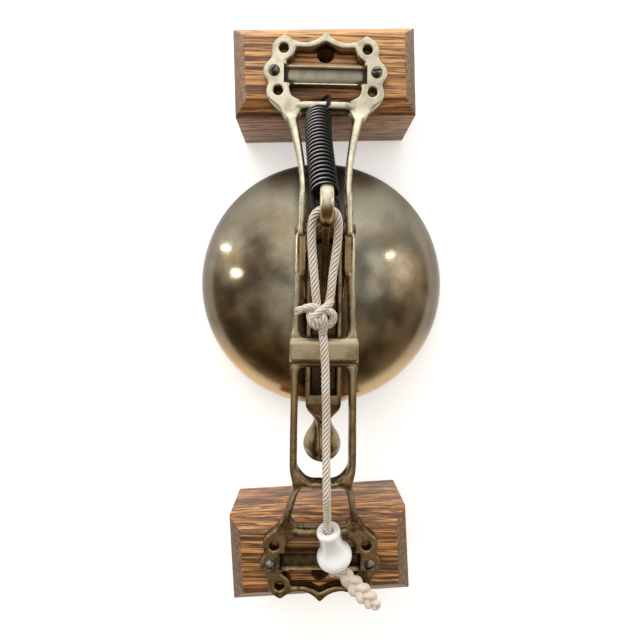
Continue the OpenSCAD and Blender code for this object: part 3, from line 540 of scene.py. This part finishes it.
# Relief of the front: rounded edges, sunk cross bars with a raised border,
# round base bars, a raised crossbar and sunk pads.
edge = np.maximum(0, -plan)
rounding = np.where((y > top_base - 4) | (y < low_base + 4), 1.4, 2.3)
relief = -rounding * (1 - np.sqrt(1 - np.clip(1 - edge / rounding, 0, 1) ** 2))
relief = np.where(holes < 2.2, -0.7 * (1 - np.clip(holes / 0.9, 0, 1)) ** 2, relief)
in_bar, bed = (foot_bars < 0) & (ax < 30.2), -foot_bars
sunk_bar = -2.0 - 1.6 * step(0.9, 1.7, bed) - 0.6 * (1 - step(0, 0.7, bed))
relief = np.where(in_bar, np.minimum(sunk_bar, -0.4), relief)
for v in down_feet:
    off = np.abs(v - base_bar_v)
    round_bar = (-1.5 + np.sqrt(np.maximum(0, base_bar_r ** 2 - off ** 2))
                 - 3.4 * step(14, 27, ax))
    relief = np.where((off < base_bar_r) & (ax < 31), np.maximum(relief, round_bar), relief)
down = -12.3 - y
face = np.interp(down, [0, 0.6, 2.2, 4.4, 14.8, 15.8, 16.6, 19, 20],
                 [-1.2, 0.2, 1.5, 2.4, 2.5, 1.9, 0.2, -0.2, -1.4])
face = np.where(face < 0, face * (1 - step(15.5, 18, ax)), face)
face = face - 1.6 * np.clip((ax - 20.6) / 2.1, 0, 1) ** 2
relief = np.where((down > 0) & (down < 20) & (ax < 24), face, relief)
in_pad = np.minimum(-pads, 18.2 - ax)
relief = relief - 1.2 * step(0, 1.2, in_pad)

# Its back, as depths below the front, and the side line that both follow.
back = np.full(x.shape, -11.0)
for v in down_feet:
    back = np.where(v < 75, -8 - 3 * step(60, 72, v), back)
    back = np.where((v > 50) & (v < 60) & (ax < 22), -5.3, back)
back = np.where(in_bar, -7.5, back)
back = np.where((crossbar < 1) & (ax < 16.4), -5.0, back)
side_y = [low_crest - 9, low_base, low_bend, top_bend, top_base, top_crest + 9]
level = sum(np.interp(ys + d, side_y, [68, 68, 106, 106, 68, 68]) for d in np.arange(-4, 5)) / 9
slant = np.sqrt(1 + np.gradient(level, ys) ** 2)
front_z, back_z = level[:, None] + relief, level[:, None] + back * slant[:, None]
inside = plan < 0
sunk = np.clip((spread(relief, inside, 3) - relief) / 0.9, 0, 1) + 0.6 * (in_bar & (bed > 1.2))
sunk = np.where(in_pad > -1, 0.3 * sunk, sunk)

# The mesh: whole grid squares inside, and cut squares along the outline.
grid_count = int(inside.sum())
index = np.full(x.shape, -1)
index[inside] = np.arange(grid_count)
faces, rim, on_outline, crossings = [], [], [], {}


def crossing(a, b):
    """Point on the outline between a grid place inside and one outside."""
    key = (min(a, b), max(a, b))
    if key not in crossings:
        crossings[key] = grid_count + len(crossings)
        t = plan[a] / (plan[a] - plan[b])
        kept = a if plan[a] < 0 else b
        yy = y[a] + t * (y[b] - y[a])
        middle_z = np.interp(yy, ys, level)
        drop = min(relief[kept], -1.3) if holes[kept] > 2.2 else -0.7
        on_outline.append((x[a] + t * (x[b] - x[a]), yy, middle_z + drop,
                           middle_z + back[kept] * np.interp(yy, ys, slant), 0.2))
    return crossings[key]


corners_in = np.stack([inside[:-1, :-1], inside[1:, :-1], inside[:-1, 1:], inside[1:, 1:]])
for r, c in zip(*np.nonzero(corners_in.all(axis=0))):
    faces.append((index[r, c], index[r, c + 1], index[r + 1, c + 1], index[r + 1, c]))
for r, c in zip(*np.nonzero(corners_in.any(axis=0) & ~corners_in.all(axis=0))):
    around = [(r, c), (r, c + 1), (r + 1, c + 1), (r + 1, c)]
    loop, leaving = [], []
    for a, b in zip(around, around[1:] + around[:1]):
        if inside[a]:
            loop.append(int(index[a]))
        if inside[a] != inside[b]:
            loop.append(crossing(a, b))
            if inside[a]:
                leaving.append(loop[-1])
    faces.append(tuple(loop))
    rim += [(k, loop[(loop.index(k) + 1) % len(loop)]) for k in leaving]
flat = np.vstack([np.column_stack([grid[inside] for grid in (x, y, front_z, back_z, sunk)]),
                  np.array(on_outline)])
n = len(flat)
casting = add_piece(
    "casting", np.vstack([flat[:, :3], flat[:, [0, 1, 3]]]),
    faces + [tuple(i + n for i in f[::-1]) for f in faces] + [(b, a, a + n, b + n) for a, b in rim],
    "bell", "cast_brass", pale_brass, ["frame"], sharp=1.1)
# Painted shade: the outline's edge is darkened a little and the back a lot, so the side walls
# darken towards the back; the front's sunk places keep a real patina.
point_values(casting, "hollow", np.concatenate([flat[:, 4], np.full(n, 0.8)]))
# Painted shade: the front between the rails over the lever, and the whole back, are browned where
# the frame lies in its own shade.
over_lever = (np.abs(flat[:, 0]) < 17.6) & (flat[:, 1] < 56) & (flat[:, 1] > -10)
point_values(casting, "brown", np.concatenate([1.15 * over_lever, np.full(n, 0.6)]))
outward(casting)


# Hangers and saddle: cast in one with the frame. Two cheeks beside the lever
# carry the pin in their bosses and lugs, and the gong is bolted to the saddle
# between their feet.
def bevel(b, edges, width, segments, clamp=False):
    """Cut edges off, or round them in segments, by a width in millimetres."""
    bmesh.ops.bevel(b, geom=edges, offset=width * 0.001, offset_type="OFFSET", affect="EDGES",
                    segments=segments, profile=0.5, material=-1, clamp_overlap=clamp)


def bevelled(piece, width):
    """Round a piece's sharp edges."""
    b = bmesh.new()
    b.from_mesh(piece.data)
    bmesh.ops.recalc_face_normals(b, faces=b.faces)
    bevel(b, [e for e in b.edges if len(e.link_faces) == 2 and e.calc_face_angle() > 0.5],
          width, 3, clamp=True)
    b.to_mesh(piece.data)
    b.free()
    piece.data.shade_smooth()
    piece.data.set_sharp_from_angle(angle=0.9)


def slab(outline_yz, x0, x1):
    """A flat plate drawn in y and z, between two places across the bell."""
    n = len(outline_yz)
    points = [(x0, a, b) for a, b in outline_yz] + [(x1, a, b) for a, b in outline_yz]
    faces = [tuple(range(n)), tuple(range(2 * n - 1, n - 1, -1))]
    faces += [(i, i + n, (i + 1) % n + n, (i + 1) % n) for i in range(n)]
    return np.array(points, float), faces


def bar(y0, y1, z0, z1, x0, x1):
    """A square bar, as a slab."""
    return slab([(y0, z0), (y1, z0), (y1, z1), (y0, z1)], x0, x1)


pin_y, pin_z = 58.5, 97


def boss(r, x0, x1):
    """A round boss on the pin's axis."""
    a = circle(48)
    return slab(list(zip(pin_y + r * np.cos(a), pin_z + r * np.sin(a))), x0, x1)


# A darker copy of the brass for the hangers, the lever's rib, web, hub and tongue, and the hammer:
# the hammer's own darker bronze, and painted shade for the parts that lie under the frame's rails.
brown_and_shaded_brass = brass("brown_and_shaded_brass", (0.33, 0.245, 0.14), (0.10, 0.068, 0.033),
                    (0.014, 0.010, 0.006), 0.26, 60)
cheek = [(63.5, 103), (30.5, 103), (28.5, 98), (13, 85), (13, 72), (41, 72), (65.5, 93)]
hangers = {}
for side in (-1, 1):
    hangers[f"cheek_{side + 1}"] = slab(cheek, side * 13.3, side * 17.0)
    hangers[f"boss_{side + 1}"] = boss(8, side * 13.3, side * 17.0)
    hangers[f"lug_{side + 1}"] = boss(4.7, side * 16.6, side * 19.0)
hangers["saddle"] = bar(13, 41, 72, 78, -17, 17)
for name, shape in hangers.items():
    bevelled(add_piece(name, *shape, "bell", "cast_brass", brown_and_shaded_brass), 0.6)


# Gong: spun bronze bowl, 206 mm wide over the rim and 60 mm high, with a 3 mm
# wall. It is worn olive and brown in patches. Its skirt is golden on the lower
# side, a painted reflection, and dull elsewhere, and a painted shade darkens it
# under the frame. It hangs from the saddle by a bolt.
olive, gong_brown = (0.30, 0.275, 0.21), (0.16, 0.115, 0.065)
painted_gold_reflection, dull_rim = (0.60, 0.39, 0.15), (0.085, 0.062, 0.04)
speck, painted_frame_shade = (0.05, 0.035, 0.02), (0.03, 0.021, 0.013)
gong_brass, tree = new_material("gong_brass")
place = place_on(tree)
gong_x, gong_y, gong_height = (axis(tree, place, name) for name in "XYZ")
patches, specks = noise(tree, place, 14, 7, 0.6), noise(tree, place, 520)
# Painted reflection: the skirt turns golden towards the lower side.
gong_rim = mix(tree, between(tree, gong_y, -0.045, -0.005), painted_gold_reflection, dull_rim)
tone_and_rim_reflection = mix(tree, between(tree, gong_height, 0.024, 0.046), gong_rim,
           ramp(tree, patches, (0.34, gong_brown), (0.56, olive)))
specked = mix(tree, between(tree, specks, 0.60, 0.80, 0, 0.45), tone_and_rim_reflection, speck)
# Painted shade: a dark band across the bowl under the frame's middle.
under_frame = between(tree, maths(tree, "ABSOLUTE", gong_x), 0.024, 0.014, 0, 0.85)
gloss = maths(tree, "ADD", between(tree, patches, 0, 1, 0.08, 0.22),
              between(tree, gong_y, 0.055, 0.095, 0, 0.30))
surface(tree, {"Base Color": mix(tree, under_frame, specked, painted_frame_shade), "Roughness": gloss,
               "Normal": bump(tree, specks, 0.12, 0.0002), "Metallic": 1})

gong_at, gong_h, gong_wall = (0, 27, 10), 60, 3
crown_r, shoulder_r, shoulder_x = 140, 32, 71
crown_z = gong_h - crown_r
shoulder_z = crown_z + math.sqrt((crown_r - shoulder_r) ** 2 - shoulder_x ** 2)
bend_at = math.atan2(shoulder_z - crown_z, shoulder_x)


def dome(inset):
    """Outside or inset line of the bowl from its middle to its skirt."""
    crown, shoulder = crown_r - inset, shoulder_r - inset
    return [(crown * math.cos(a), crown_z + crown * math.sin(a))
            for a in np.linspace(math.pi / 2 - 0.05, bend_at, 60)] + [
        (shoulder_x + shoulder * math.cos(a), shoulder_z + shoulder * math.sin(a))
        for a in np.linspace(bend_at, 0, 40)[1:]]


bolt_hole, pad_r, under_crown = 4.5, 12.5, 56.4
gong_profile = [(bolt_hole, gong_h)] + dome(0)
gong_profile += [(103, 0.7), (102.8, 0.2), (102.3, 0), (99.7, 0), (99.2, 0.2), (99, 0.7),
                 (99, 2.4), (99.6, 3), (100, 3.2)]
gong_profile += [q for q in dome(gong_wall)[::-1] if q[0] > pad_r and q[1] > 3.4]
gong_profile += [(pad_r, under_crown), (bolt_hole, under_crown)]
gong_points, gong_faces = lathe(gong_profile, 256, closed=True)
gong = add_piece("gong_bowl", gong_points + gong_at, gong_faces, "bell", "gong_brass",
                 gong_brass, ["gong"], sharp=0.7)
outward(gong)


# Blocks: two sawn oak blocks with a broad chamfer round the front, bored and
# counterbored for the wall screws. The grain runs across the bell, and the
# sawn ends have gone grey.
oak, tree = new_material("oak")
place = place_on(tree)
along_grain, fine_grain = (node(tree, "Mapping", "Vector", {"Vector": place, "Scale": scale})
                           for scale in ((3.5, 120, 120), (40, 900, 900)))
rings = noise(tree, along_grain, 3.2, 5, distortion=0.6)
pores = between(tree, noise(tree, fine_grain, 1.2, 3), 0.53, 0.64)
# Painted light: the wood turns lighter towards the upper block.
painted_light_above = maths(tree, "MULTIPLY_ADD", axis(tree, place, "Y"), 0.22, rings)
wood = ramp(tree, painted_light_above, (0.40, (0.11, 0.042, 0.013)), (0.48, (0.34, 0.135, 0.036)),
            (0.62, (0.66, 0.34, 0.115)))
facing = node(tree, "NewGeometry", "Normal", {})
sawn_end = between(tree, maths(tree, "ABSOLUTE", axis(tree, facing, "X")), 0.4, 0.7, 0, 0.82)
greyed = mix(tree, sawn_end, wood, (0.12, 0.075, 0.045))
surface(tree, {"Base Color": mix(tree, pores, greyed, (0.035, 0.014, 0.006)), "Roughness": 0.5,
               "Normal": bump(tree, pores, 0.35, 0.0004, invert=True),
               "Coat Weight": 0.2, "Coat Roughness": 0.3})

block_w, block_h, block_d = 0.14, 0.067, 0.06
head_bore, screw_bore, bore_step = 0.00675, 0.00275, 0.038


def bore_ring(b, hole_y, z, radius):
    return bmesh.ops.create_circle(b, segments=48, radius=radius,
                                   matrix=Matrix.Translation((0, hole_y, z)))["verts"]


for name, stands_for, block_y, degrees, hole_y in (
        ("upper_block", "top_block", 0.188594, 2, 0.197),
        ("lower_block", "bottom_block", -0.186806, 3.5, -0.197)):
    b = bmesh.new()
    bmesh.ops.create_cube(b, size=1, matrix=(Matrix.Translation((0, 0, block_d / 2))
                                             @ Matrix.Diagonal((block_w, block_h, block_d, 1))))
    bevel(b, [e for e in b.edges if all(v.co.z > block_d - 0.001 for v in e.verts)], 10, 1)
    bevel(b, list(b.edges), 0.7, 2)
    turn = (Matrix.Translation((0, block_y, 0))
            @ Matrix.Rotation(math.radians(degrees), 4, "Z"))
    bmesh.ops.transform(b, matrix=turn, verts=b.verts)
    mouths = []
    for z, radius in ((block_d, head_bore), (0, screw_bore)):
        flat_face = max((f for f in b.faces if abs(f.normal.z) > 0.99
                         and abs(f.calc_center_median().z - z) < 1e-4),
                        key=lambda f: f.calc_area())
        border = list(flat_face.edges)
        bmesh.ops.delete(b, geom=[flat_face], context="FACES_ONLY")
        mouths.append(bore_ring(b, hole_y, z, radius))
        border += dict.fromkeys(e for v in mouths[-1] for e in v.link_edges)
        bmesh.ops.triangle_fill(b, edges=border, use_beauty=True)
    rows = [mouths[0], bore_ring(b, hole_y, bore_step, head_bore),
            bore_ring(b, hole_y, bore_step, screw_bore), mouths[1]]
    for row, after in zip(rows, rows[1:]):
        for k in range(48):
            b.faces.new((row[k], row[(k + 1) % 48], after[(k + 1) % 48], after[k]))
    bmesh.ops.recalc_face_normals(b, faces=b.faces)
    mesh = bpy.data.meshes.new(name)
    b.to_mesh(mesh)
    b.free()
    mesh_piece(name, mesh, "bell", "oak", oak, [stands_for], sharp=0.5)


# Return spring: 2.6 mm black music wire wound in 22 coils with a full loop at
# each end. It hooks the upper foot's base bar to the lever's eye, and hangs
# slack, bowed a little to the left.
music_wire, tree = new_material("music_wire")
painted_highlight = attribute(tree, "painted_highlight")
black = ramp(tree, noise(tree, place_on(tree), 350), (0, (0.003, 0.003, 0.004)),
             (1, (0.012, 0.012, 0.013)))
# Painted highlight: where marked, the wire turns bright and metallic.
surface(tree, {"Base Color": mix(tree, painted_highlight, black, (0.92, 0.92, 0.94)), "Metallic": painted_highlight,
               "Roughness": 0.2, "Specular IOR Level": 0.12})

wire_r, coil_r, coil_turns = 1.3, 8.2, 177 / 8
top_end, eye_end = np.array([-1.8, 154.994, 66.5]), np.array([0.6, 64.71, 117.81])
spring_len = np.linalg.norm(eye_end - top_end)
spring_way = (eye_end - top_end) / spring_len
spring_side = unit(np.cross(spring_way, (0, 0, 1)))
spring_front = np.cross(spring_side, spring_way)
hook_c, hook_turn = 1.1, math.radians(54)  # the hook's middle along the spring, and its turn
loop_c = spring_len - coil_r  # the middle of the eye's loop
coil_start, coil_end = coil_r + hook_c + 1.4, loop_c - coil_r - 1.4
first_turn = math.radians(95)
last_turn = first_turn + 2 * math.pi * coil_turns


def in_spring(px, py, z, bow):
    """A place in the bell from one in the spring, z along it."""
    return top_end - (px + bow) * spring_side + py * spring_front + z * spring_way


def bow_at(z):
    return -3.8 * math.sin(math.pi * math.sqrt(min(1, z / spring_len)))


def in_hook(out, z):
    return in_spring(out * math.cos(hook_turn), out * math.sin(hook_turn), z, 0)


def on_coil(a, z):
    return in_spring(coil_r * math.cos(a), coil_r * math.sin(a), z, bow_at(z))


wire = [in_hook(2 * wire_r, coil_r + hook_c)]
for a in np.radians(np.arange(-270, 11, 10)):
    wire.append(in_hook(coil_r * math.cos(a), coil_r * math.sin(a) + hook_c))
wire += [on_coil(first_turn - math.radians(45), coil_start - 2),
         on_coil(first_turn - math.radians(33), coil_start - 0.4)]
for t in np.linspace(0, 1, 22 * 26):
    wire.append(on_coil(first_turn + 2 * math.pi * coil_turns * t,
                        coil_start + (coil_end - coil_start) * (0.9 * t + 0.1 * t * t)))
wire += [on_coil(last_turn + math.radians(28), coil_end + 0.5),
         on_coil(last_turn + math.radians(40), coil_end + 2.4)]
for a in np.radians(np.arange(180, 451, 10)):
    z = loop_c - coil_r * math.sin(a)
    wire.append(in_spring(coil_r * math.cos(a), 0, z, bow_at(z)))
wire.append(in_spring(-2 * wire_r, 0, loop_c - coil_r, bow_at(loop_c - coil_r)))
wire = np.array(wire)
wire_points, wire_faces = tube(wire, np.full((len(wire), 1), wire_r), 16)
spring = add_piece("spring", wire_points, wire_faces, None, "spring_black", music_wire,
                   ["return_spring"], sharp=3)

# Painted highlight: a bright line along the outside of the coils, most
# towards the upper left, where the light comes from.
middles = np.array([in_spring(0, 0, z, bow_at(max(0, z)))
                    for z in (wire - top_end) @ spring_way])
out_way = wire - middles
out_way /= np.maximum(np.linalg.norm(out_way, axis=1), 1e-6)[:, None]
from_wire = wire_points.reshape(len(wire), 16, 3) - wire[:, None]
facing_out = (from_wire * out_way[:, None]).sum(axis=2) / wire_r
to_left = np.clip(out_way @ np.array([-0.42, 0.08, 0.90]), 0, 1) ** 5
point_values(spring, "painted_highlight",
             (0.95 * to_left[:, None] * np.clip(facing_out, 0, 1) ** 30).ravel())
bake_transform(spring)


# Pull lever: a cast brass ring for the cord, a curved rib and a web under it,
# a hub that turns on the pin, and a flat tongue riveted in the hammer's channel.
def squared(wave, power):
    """A sine or cosine with fuller corners, below a power of 1."""
    return np.sign(wave) * np.abs(wave) ** power


eye_y, eye_z = 69.3, 121
a = circle(48)
ring_section = np.column_stack([9.85 + 2.85 * squared(np.cos(a), 0.8),
                                4.1 * squared(np.sin(a), 0.8)])
ring_points, ring_faces = lathe(ring_section, 96, closed=True)
ring_points = ring_points[:, [2, 0, 1]] + (0, eye_y, eye_z)
rib_section = [(-1, 0), (-1, 0.55), (-0.92, 0.8), (-0.7, 0.95), (-0.35, 1),
               (0.35, 1), (0.7, 0.95), (0.92, 0.8), (1, 0.55), (1, 0)]
rib_points = []
for t in np.linspace(0, 1, 40):
    tall, half = 1.3 + 22.7 * t ** 2.6, 1.1 + 1.4 * t
    for cx, cz in rib_section:
        up = tall * (1 - (1 - cz) * min(1, 3.5 / tall)) if cz > 0 else 0
        rib_points.append((cx * half, -6.3 + 63.6 * t, 95 + up))
rib = (np.array(rib_points), skin(40, len(rib_section)))
lever = add_piece("lever", *join_parts([(ring_points, ring_faces), rib]), "striker",
                  "dark_brass", pale_brass, ["pull_lever"], sharp=0.9)
outward(lever)
# Painted shade: the rib, which lies below the ring, takes the darker brass.
lever.data.materials.append(brown_and_shaded_brass)
for f in lever.data.polygons:
    from_eye = math.hypot(f.center[1] - eye_y / 1000, f.center[2] - eye_z / 1000)
    f.material_index = int(from_eye > 0.0133)
# Painted shade: the ring is browned below its middle, where it faces down.
up_lever = np.array([v.co.y for v in lever.data.vertices])
point_values(lever, "brown", 1.2 * step(0.070, 0.062, up_lever))
web = [(56, 95), (58, 118.6), (63, 112), (67.3, 110.3), (74, 109.6), (65.5, 99), (58.5, 93.5)]
# Painted shade: the web, hub and tongue are darkened by their hollow values, most where they lie
# deepest in the channel.
for name, shape, hollow in (("lever_web", slab(web, -2.25, 2.25), 0.4),
                            ("lever_hub", boss(8, -8.3, 8.3), 0.6),
                            ("tongue", bar(-48, pin_y, 93.1, 96.3, -8.3, 8.3), 0.85)):
    piece = add_piece(name, *shape, "striker", "dark_brass", brown_and_shaded_brass)
    bevelled(piece, 0.5)
    point_values(piece, "hollow", hollow)


# Hammer: an arm and a head of dark cast brass. The arm is a channel that
# straddles the lever and turns on the same pin; a scooped yoke draws it in to
# the round neck of the pear-shaped head.
channel_wall = [(-56, 90.6), (60, 90.6), (66, 96), (64, 103), (58.5, 105), (53, 103),
                (49, 100.7), (-56, 100.7)]
for side in (-1, 1):
    bevelled(add_piece(f"channel_{side + 1}", *slab(channel_wall, side * 8.7, side * 12),
                       "striker", "dark_brass", brown_and_shaded_brass), 0.9)
channel_floor = add_piece("channel_floor", *bar(-56, 27, 90.6, 93.1, -9, 9), "striker",
                          "dark_brass", brown_and_shaded_brass)
bevelled(channel_floor, 0.3)
# Painted shade: the channel's floor is darkened nearly black.
point_values(channel_floor, "hollow", 0.9)

# The yoke's stations down the bell: y and z of its middle, how far it reaches
# to the sides and up, and how square it is. It reaches less far down.
yoke_stations = np.array([
    (-51.9, 95.65, 12, 5.05, 9), (-55, 95.65, 12, 5.05, 9), (-58, 95.5, 12, 4.95, 8),
    (-60.4, 94.6, 11.8, 4.8, 6), (-62.6, 93.1, 11.0, 4.8, 5), (-64.8, 91.2, 9.5, 5.0, 3.6),
    (-67, 88.9, 7.9, 5.4, 2.8), (-69.4, 86.0, 6.7, 5.9, 2.3), (-72, 82.9, 5.8, 6.2, 2.2),
    (-74.5, 81.5, 5.1, 7.4, 2.4), (-77, 80.7, 4.6, 8.5, 2.7), (-82, 79.05, 4.3, 11.2, 3),
    (-87, 77.4, 4.4, 13.4, 3), (-92, 75.8, 4.8, 14.2, 3), (-96, 74.5, 5.0, 13.4, 3),
    (-99.5, 73.4, 4.4, 11, 2.6), (-102, 72.6, 2.5, 7, 2.2)])
last = len(yoke_stations) - 1
between_stations = np.linspace(0, last, 6 * last + 1)
yoke_rows = np.column_stack([np.interp(between_stations, range(last + 1), column)
                             for column in yoke_stations.T])
yoke_rows[1:-1] = (yoke_rows[:-2] + 2 * yoke_rows[1:-1] + yoke_rows[2:]) / 4
head_tilt, yoke_under = math.radians(18), 5.6
a, yoke_points = circle(64), []
for sy, sz, half, tall, power in yoke_rows:
    tilt = head_tilt * min(1, max(0, (-60 - sy) / 10))
    up = np.where(a < math.pi, tall, min(tall, yoke_under)) * squared(np.sin(a), 2 / power)
    yoke_points.append(np.column_stack([half * squared(np.cos(a), 2 / power),
                                        sy - up * math.sin(tilt), sz + up * math.cos(tilt)]))
yoke = add_piece("yoke", np.vstack(yoke_points), skin(len(yoke_rows), 64), "striker",
                 "dark_brass", brown_and_shaded_brass, ["hammer_arm"], sharp=0.9)
outward(yoke)

# The head stands on its neck: a ball with a flat tip. The band down its front
# is only painted, with painted shade in strips either side of it.
neck_at, neck_r = (0, -71.9, 82.3), 6.2
head_r, head_c, tip_flat = 12.8, 20.4, 0.8
pear = [(neck_r + (tip_flat + head_r - neck_r) * step(0, 1, t), head_c * t)
        for t in np.linspace(0, 1, 40)]
pear += [(tip_flat + head_r * math.cos(t), head_c + head_r * math.sin(t))
         for t in np.linspace(0, math.pi / 2, 24)[1:]]
head_points, head_faces = lathe(pear)
head_x, head_y, head_z = head_points.T
front_side = step(0, 0.2, head_y / np.maximum(np.hypot(head_x, head_y), 1e-6))
band = (1 - step(3.0, 4.2, np.abs(head_x))) * front_side * (1 - step(27, 30.5, head_z))
band_shade = step(2.4, 5, np.abs(head_x)) * (1 - step(5, 8, np.abs(head_x)))
upright = np.array(Matrix.Rotation(math.pi / 2 + head_tilt, 3, "X"))
head = add_piece("head", head_points @ upright.T + neck_at, head_faces, "striker", "cast_brass",
                 brown_and_shaded_brass, ["hammer_head"], sharp=0.9)
# Painted shade: strips either side of the band, and a little over the whole head.
point_values(head, "hollow", 0.15 + 0.5 * step(0.1, 0.9, 1 - band) * band_shade)
outward(head)


# Wood screws: four round-headed steel screws that hold the feet to the blocks,
# turned and slotted, their heads browned.
def plain(name, low, high, rough, metallic, scale):
    """One colour with darker and lighter clouds."""
    made, tree = new_material(name)
    clouds = noise(tree, place_on(tree), scale, 5)
    surface(tree, {"Base Color": ramp(tree, clouds, (0.35, low), (0.65, high)),
                   "Roughness": rough, "Metallic": metallic})
    return made


def finished(material, *names):
    """Pieces that keep the shape of the solid part get their own material."""
    for name in names:
        materials = bpy.data.objects[name].data.materials
        materials.clear()
        materials.append(material)


dark_steel = plain("dark_steel", (0.05, 0.042, 0.036), (0.24, 0.215, 0.19), 0.25, 1, 300)
finished(dark_steel, "top_screw_left", "top_screw_right", "bottom_screw_left",
         "bottom_screw_right")


# Pin and bolt: turned steel. The pin lies in the frame's lugs with a thrust
# washer beside each channel wall, the bolt holds the gong with a pressed
# washer, and a rivet closes the tongue to the channel.
worn_steel = plain("worn_steel", (0.05, 0.045, 0.04), (0.20, 0.18, 0.16), 0.3, 1, 220)
finished(worn_steel, "gong_bolt", "inner_washer", "left_washer", "right_washer", "pivot_pin",
         "tongue_rivet")


# Pads: leather washers punched from hide, one on each side of the gong's wall,
# which keep it ringing.
hide = plain("hide", (0.05, 0.025, 0.012), (0.13, 0.07, 0.035), 0.75, 0, 180)
finished(hide, "gong_pad", "inner_pad")


# Paper: a white sheet under the bell. It glows a little to the camera and in
# reflections, so the ground stays white.
floor_mesh = bpy.data.meshes.new("floor")
floor_mesh.from_pydata([(-3, -3, 0), (3, -3, 0), (3, 3, 0), (-3, 3, 0)], [], [(0, 1, 2, 3)])
floor = placed("floor", floor_mesh)
paper, tree = new_material("paper")
camera_ray, glossy_ray, through_ray = (node(tree, "LightPath", f"Is {kind} Ray", {})
                                       for kind in ("Camera", "Glossy", "Transmission"))
seen = maths(tree, "MAXIMUM", maths(tree, "MAXIMUM", camera_ray, glossy_ray), through_ray)
surface(tree, {"Base Color": (0.86,) * 3, "Roughness": 0.9, "Emission Color": (1, 1, 1),
               "Emission Strength": maths(tree, "MULTIPLY", seen, 0.42)})
floor_mesh.materials.append(paper)


# Lamps: a large soft box above the upper end, and three small ones at the
# sides that show as spots in the gong.
for name, stands, size, power, tint in (
        ("key", (-0.35, 1.0, 0.55), (1.4, 0.6), 7, (1, 0.97, 0.92)),
        ("left", (-0.95, 0.18, 0.42), (0.07, 0.16), 0.6, (1, 0.98, 0.95)),
        ("window", (-1.0, 0.44, 0.14), (0.06, 0.18), 0.45, (0.80, 0.88, 1)),
        ("right", (0.80, 0.40, 0.56), (0.05, 0.13), 0.3, (1, 0.97, 0.93))):
    lamp = bpy.data.lights.new(name, "AREA")
    lamp.shape = "ELLIPSE"
    lamp.size, lamp.size_y = size
    lamp.energy = power
    lamp.color = tint
    holder = placed(name, lamp)
    holder.location = stands
    holder.rotation_euler = (-Vector(stands)).to_track_quat("-Z", "Y").to_euler()
    holder.visible_glossy = name != "key"


# Room: dim warm walls that rise to a pale ceiling, cluttered, with five soft
# glows. The brass mirrors it, and the camera sees plain white instead.
world = bpy.data.worlds.new("room")
world.use_nodes = True
scene.world = world
tree = world.node_tree
direction = node(tree, "TexCoord", "Generated", {})
forward = maths(tree, "MULTIPLY_ADD", axis(tree, direction, "Y"), 0.6, 0.3)
height = maths(tree, "MULTIPLY_ADD", axis(tree, direction, "Z"), 0.45, forward)
walls = ramp(tree, height, (0.08, (0.26, 0.17, 0.09)), (0.38, (0.48, 0.40, 0.30)),
             (0.74, (0.82, 0.81, 0.78)), (1.0, (1.15, 1.12, 1.06)))
light = between(tree, noise(tree, direction, 3.4, 8), 0.42, 0.6, 0.45, 1.4)
for towards, sharpness, strength in (((-0.33, 0.80, 0.50), 9, 0.8), ((0.87, 0.23, 0.43), 34, 2.6),
                                     ((-0.93, 0.30, 0.20), 60, 2.2), ((0.35, 0.75, 0.56), 40, 0.9),
                                     ((0.02, 0.98, 0.18), 40, 1.3)):
    ahead = node(tree, "VectorMath", "Value", {0: direction, 1: Vector(towards).normalized()},
                 operation="DOT_PRODUCT")
    glow = maths(tree, "POWER", maths(tree, "MAXIMUM", ahead, 0), sharpness)
    light = maths(tree, "MULTIPLY_ADD", glow, strength, light)
room = tree.nodes["Background"]
fill(tree, room, {"Color": walls, "Strength": light})
white = node(tree, "Background", "Background", {"Color": (1, 1, 1)})
shown = node(tree, "MixShader", "Shader", {
    "Fac": node(tree, "LightPath", "Is Camera Ray", {}), 1: room.outputs["Background"], 2: white})
fill(tree, tree.nodes["World Output"], {"Surface": shown})

scene.view_settings.view_transform = "Standard"
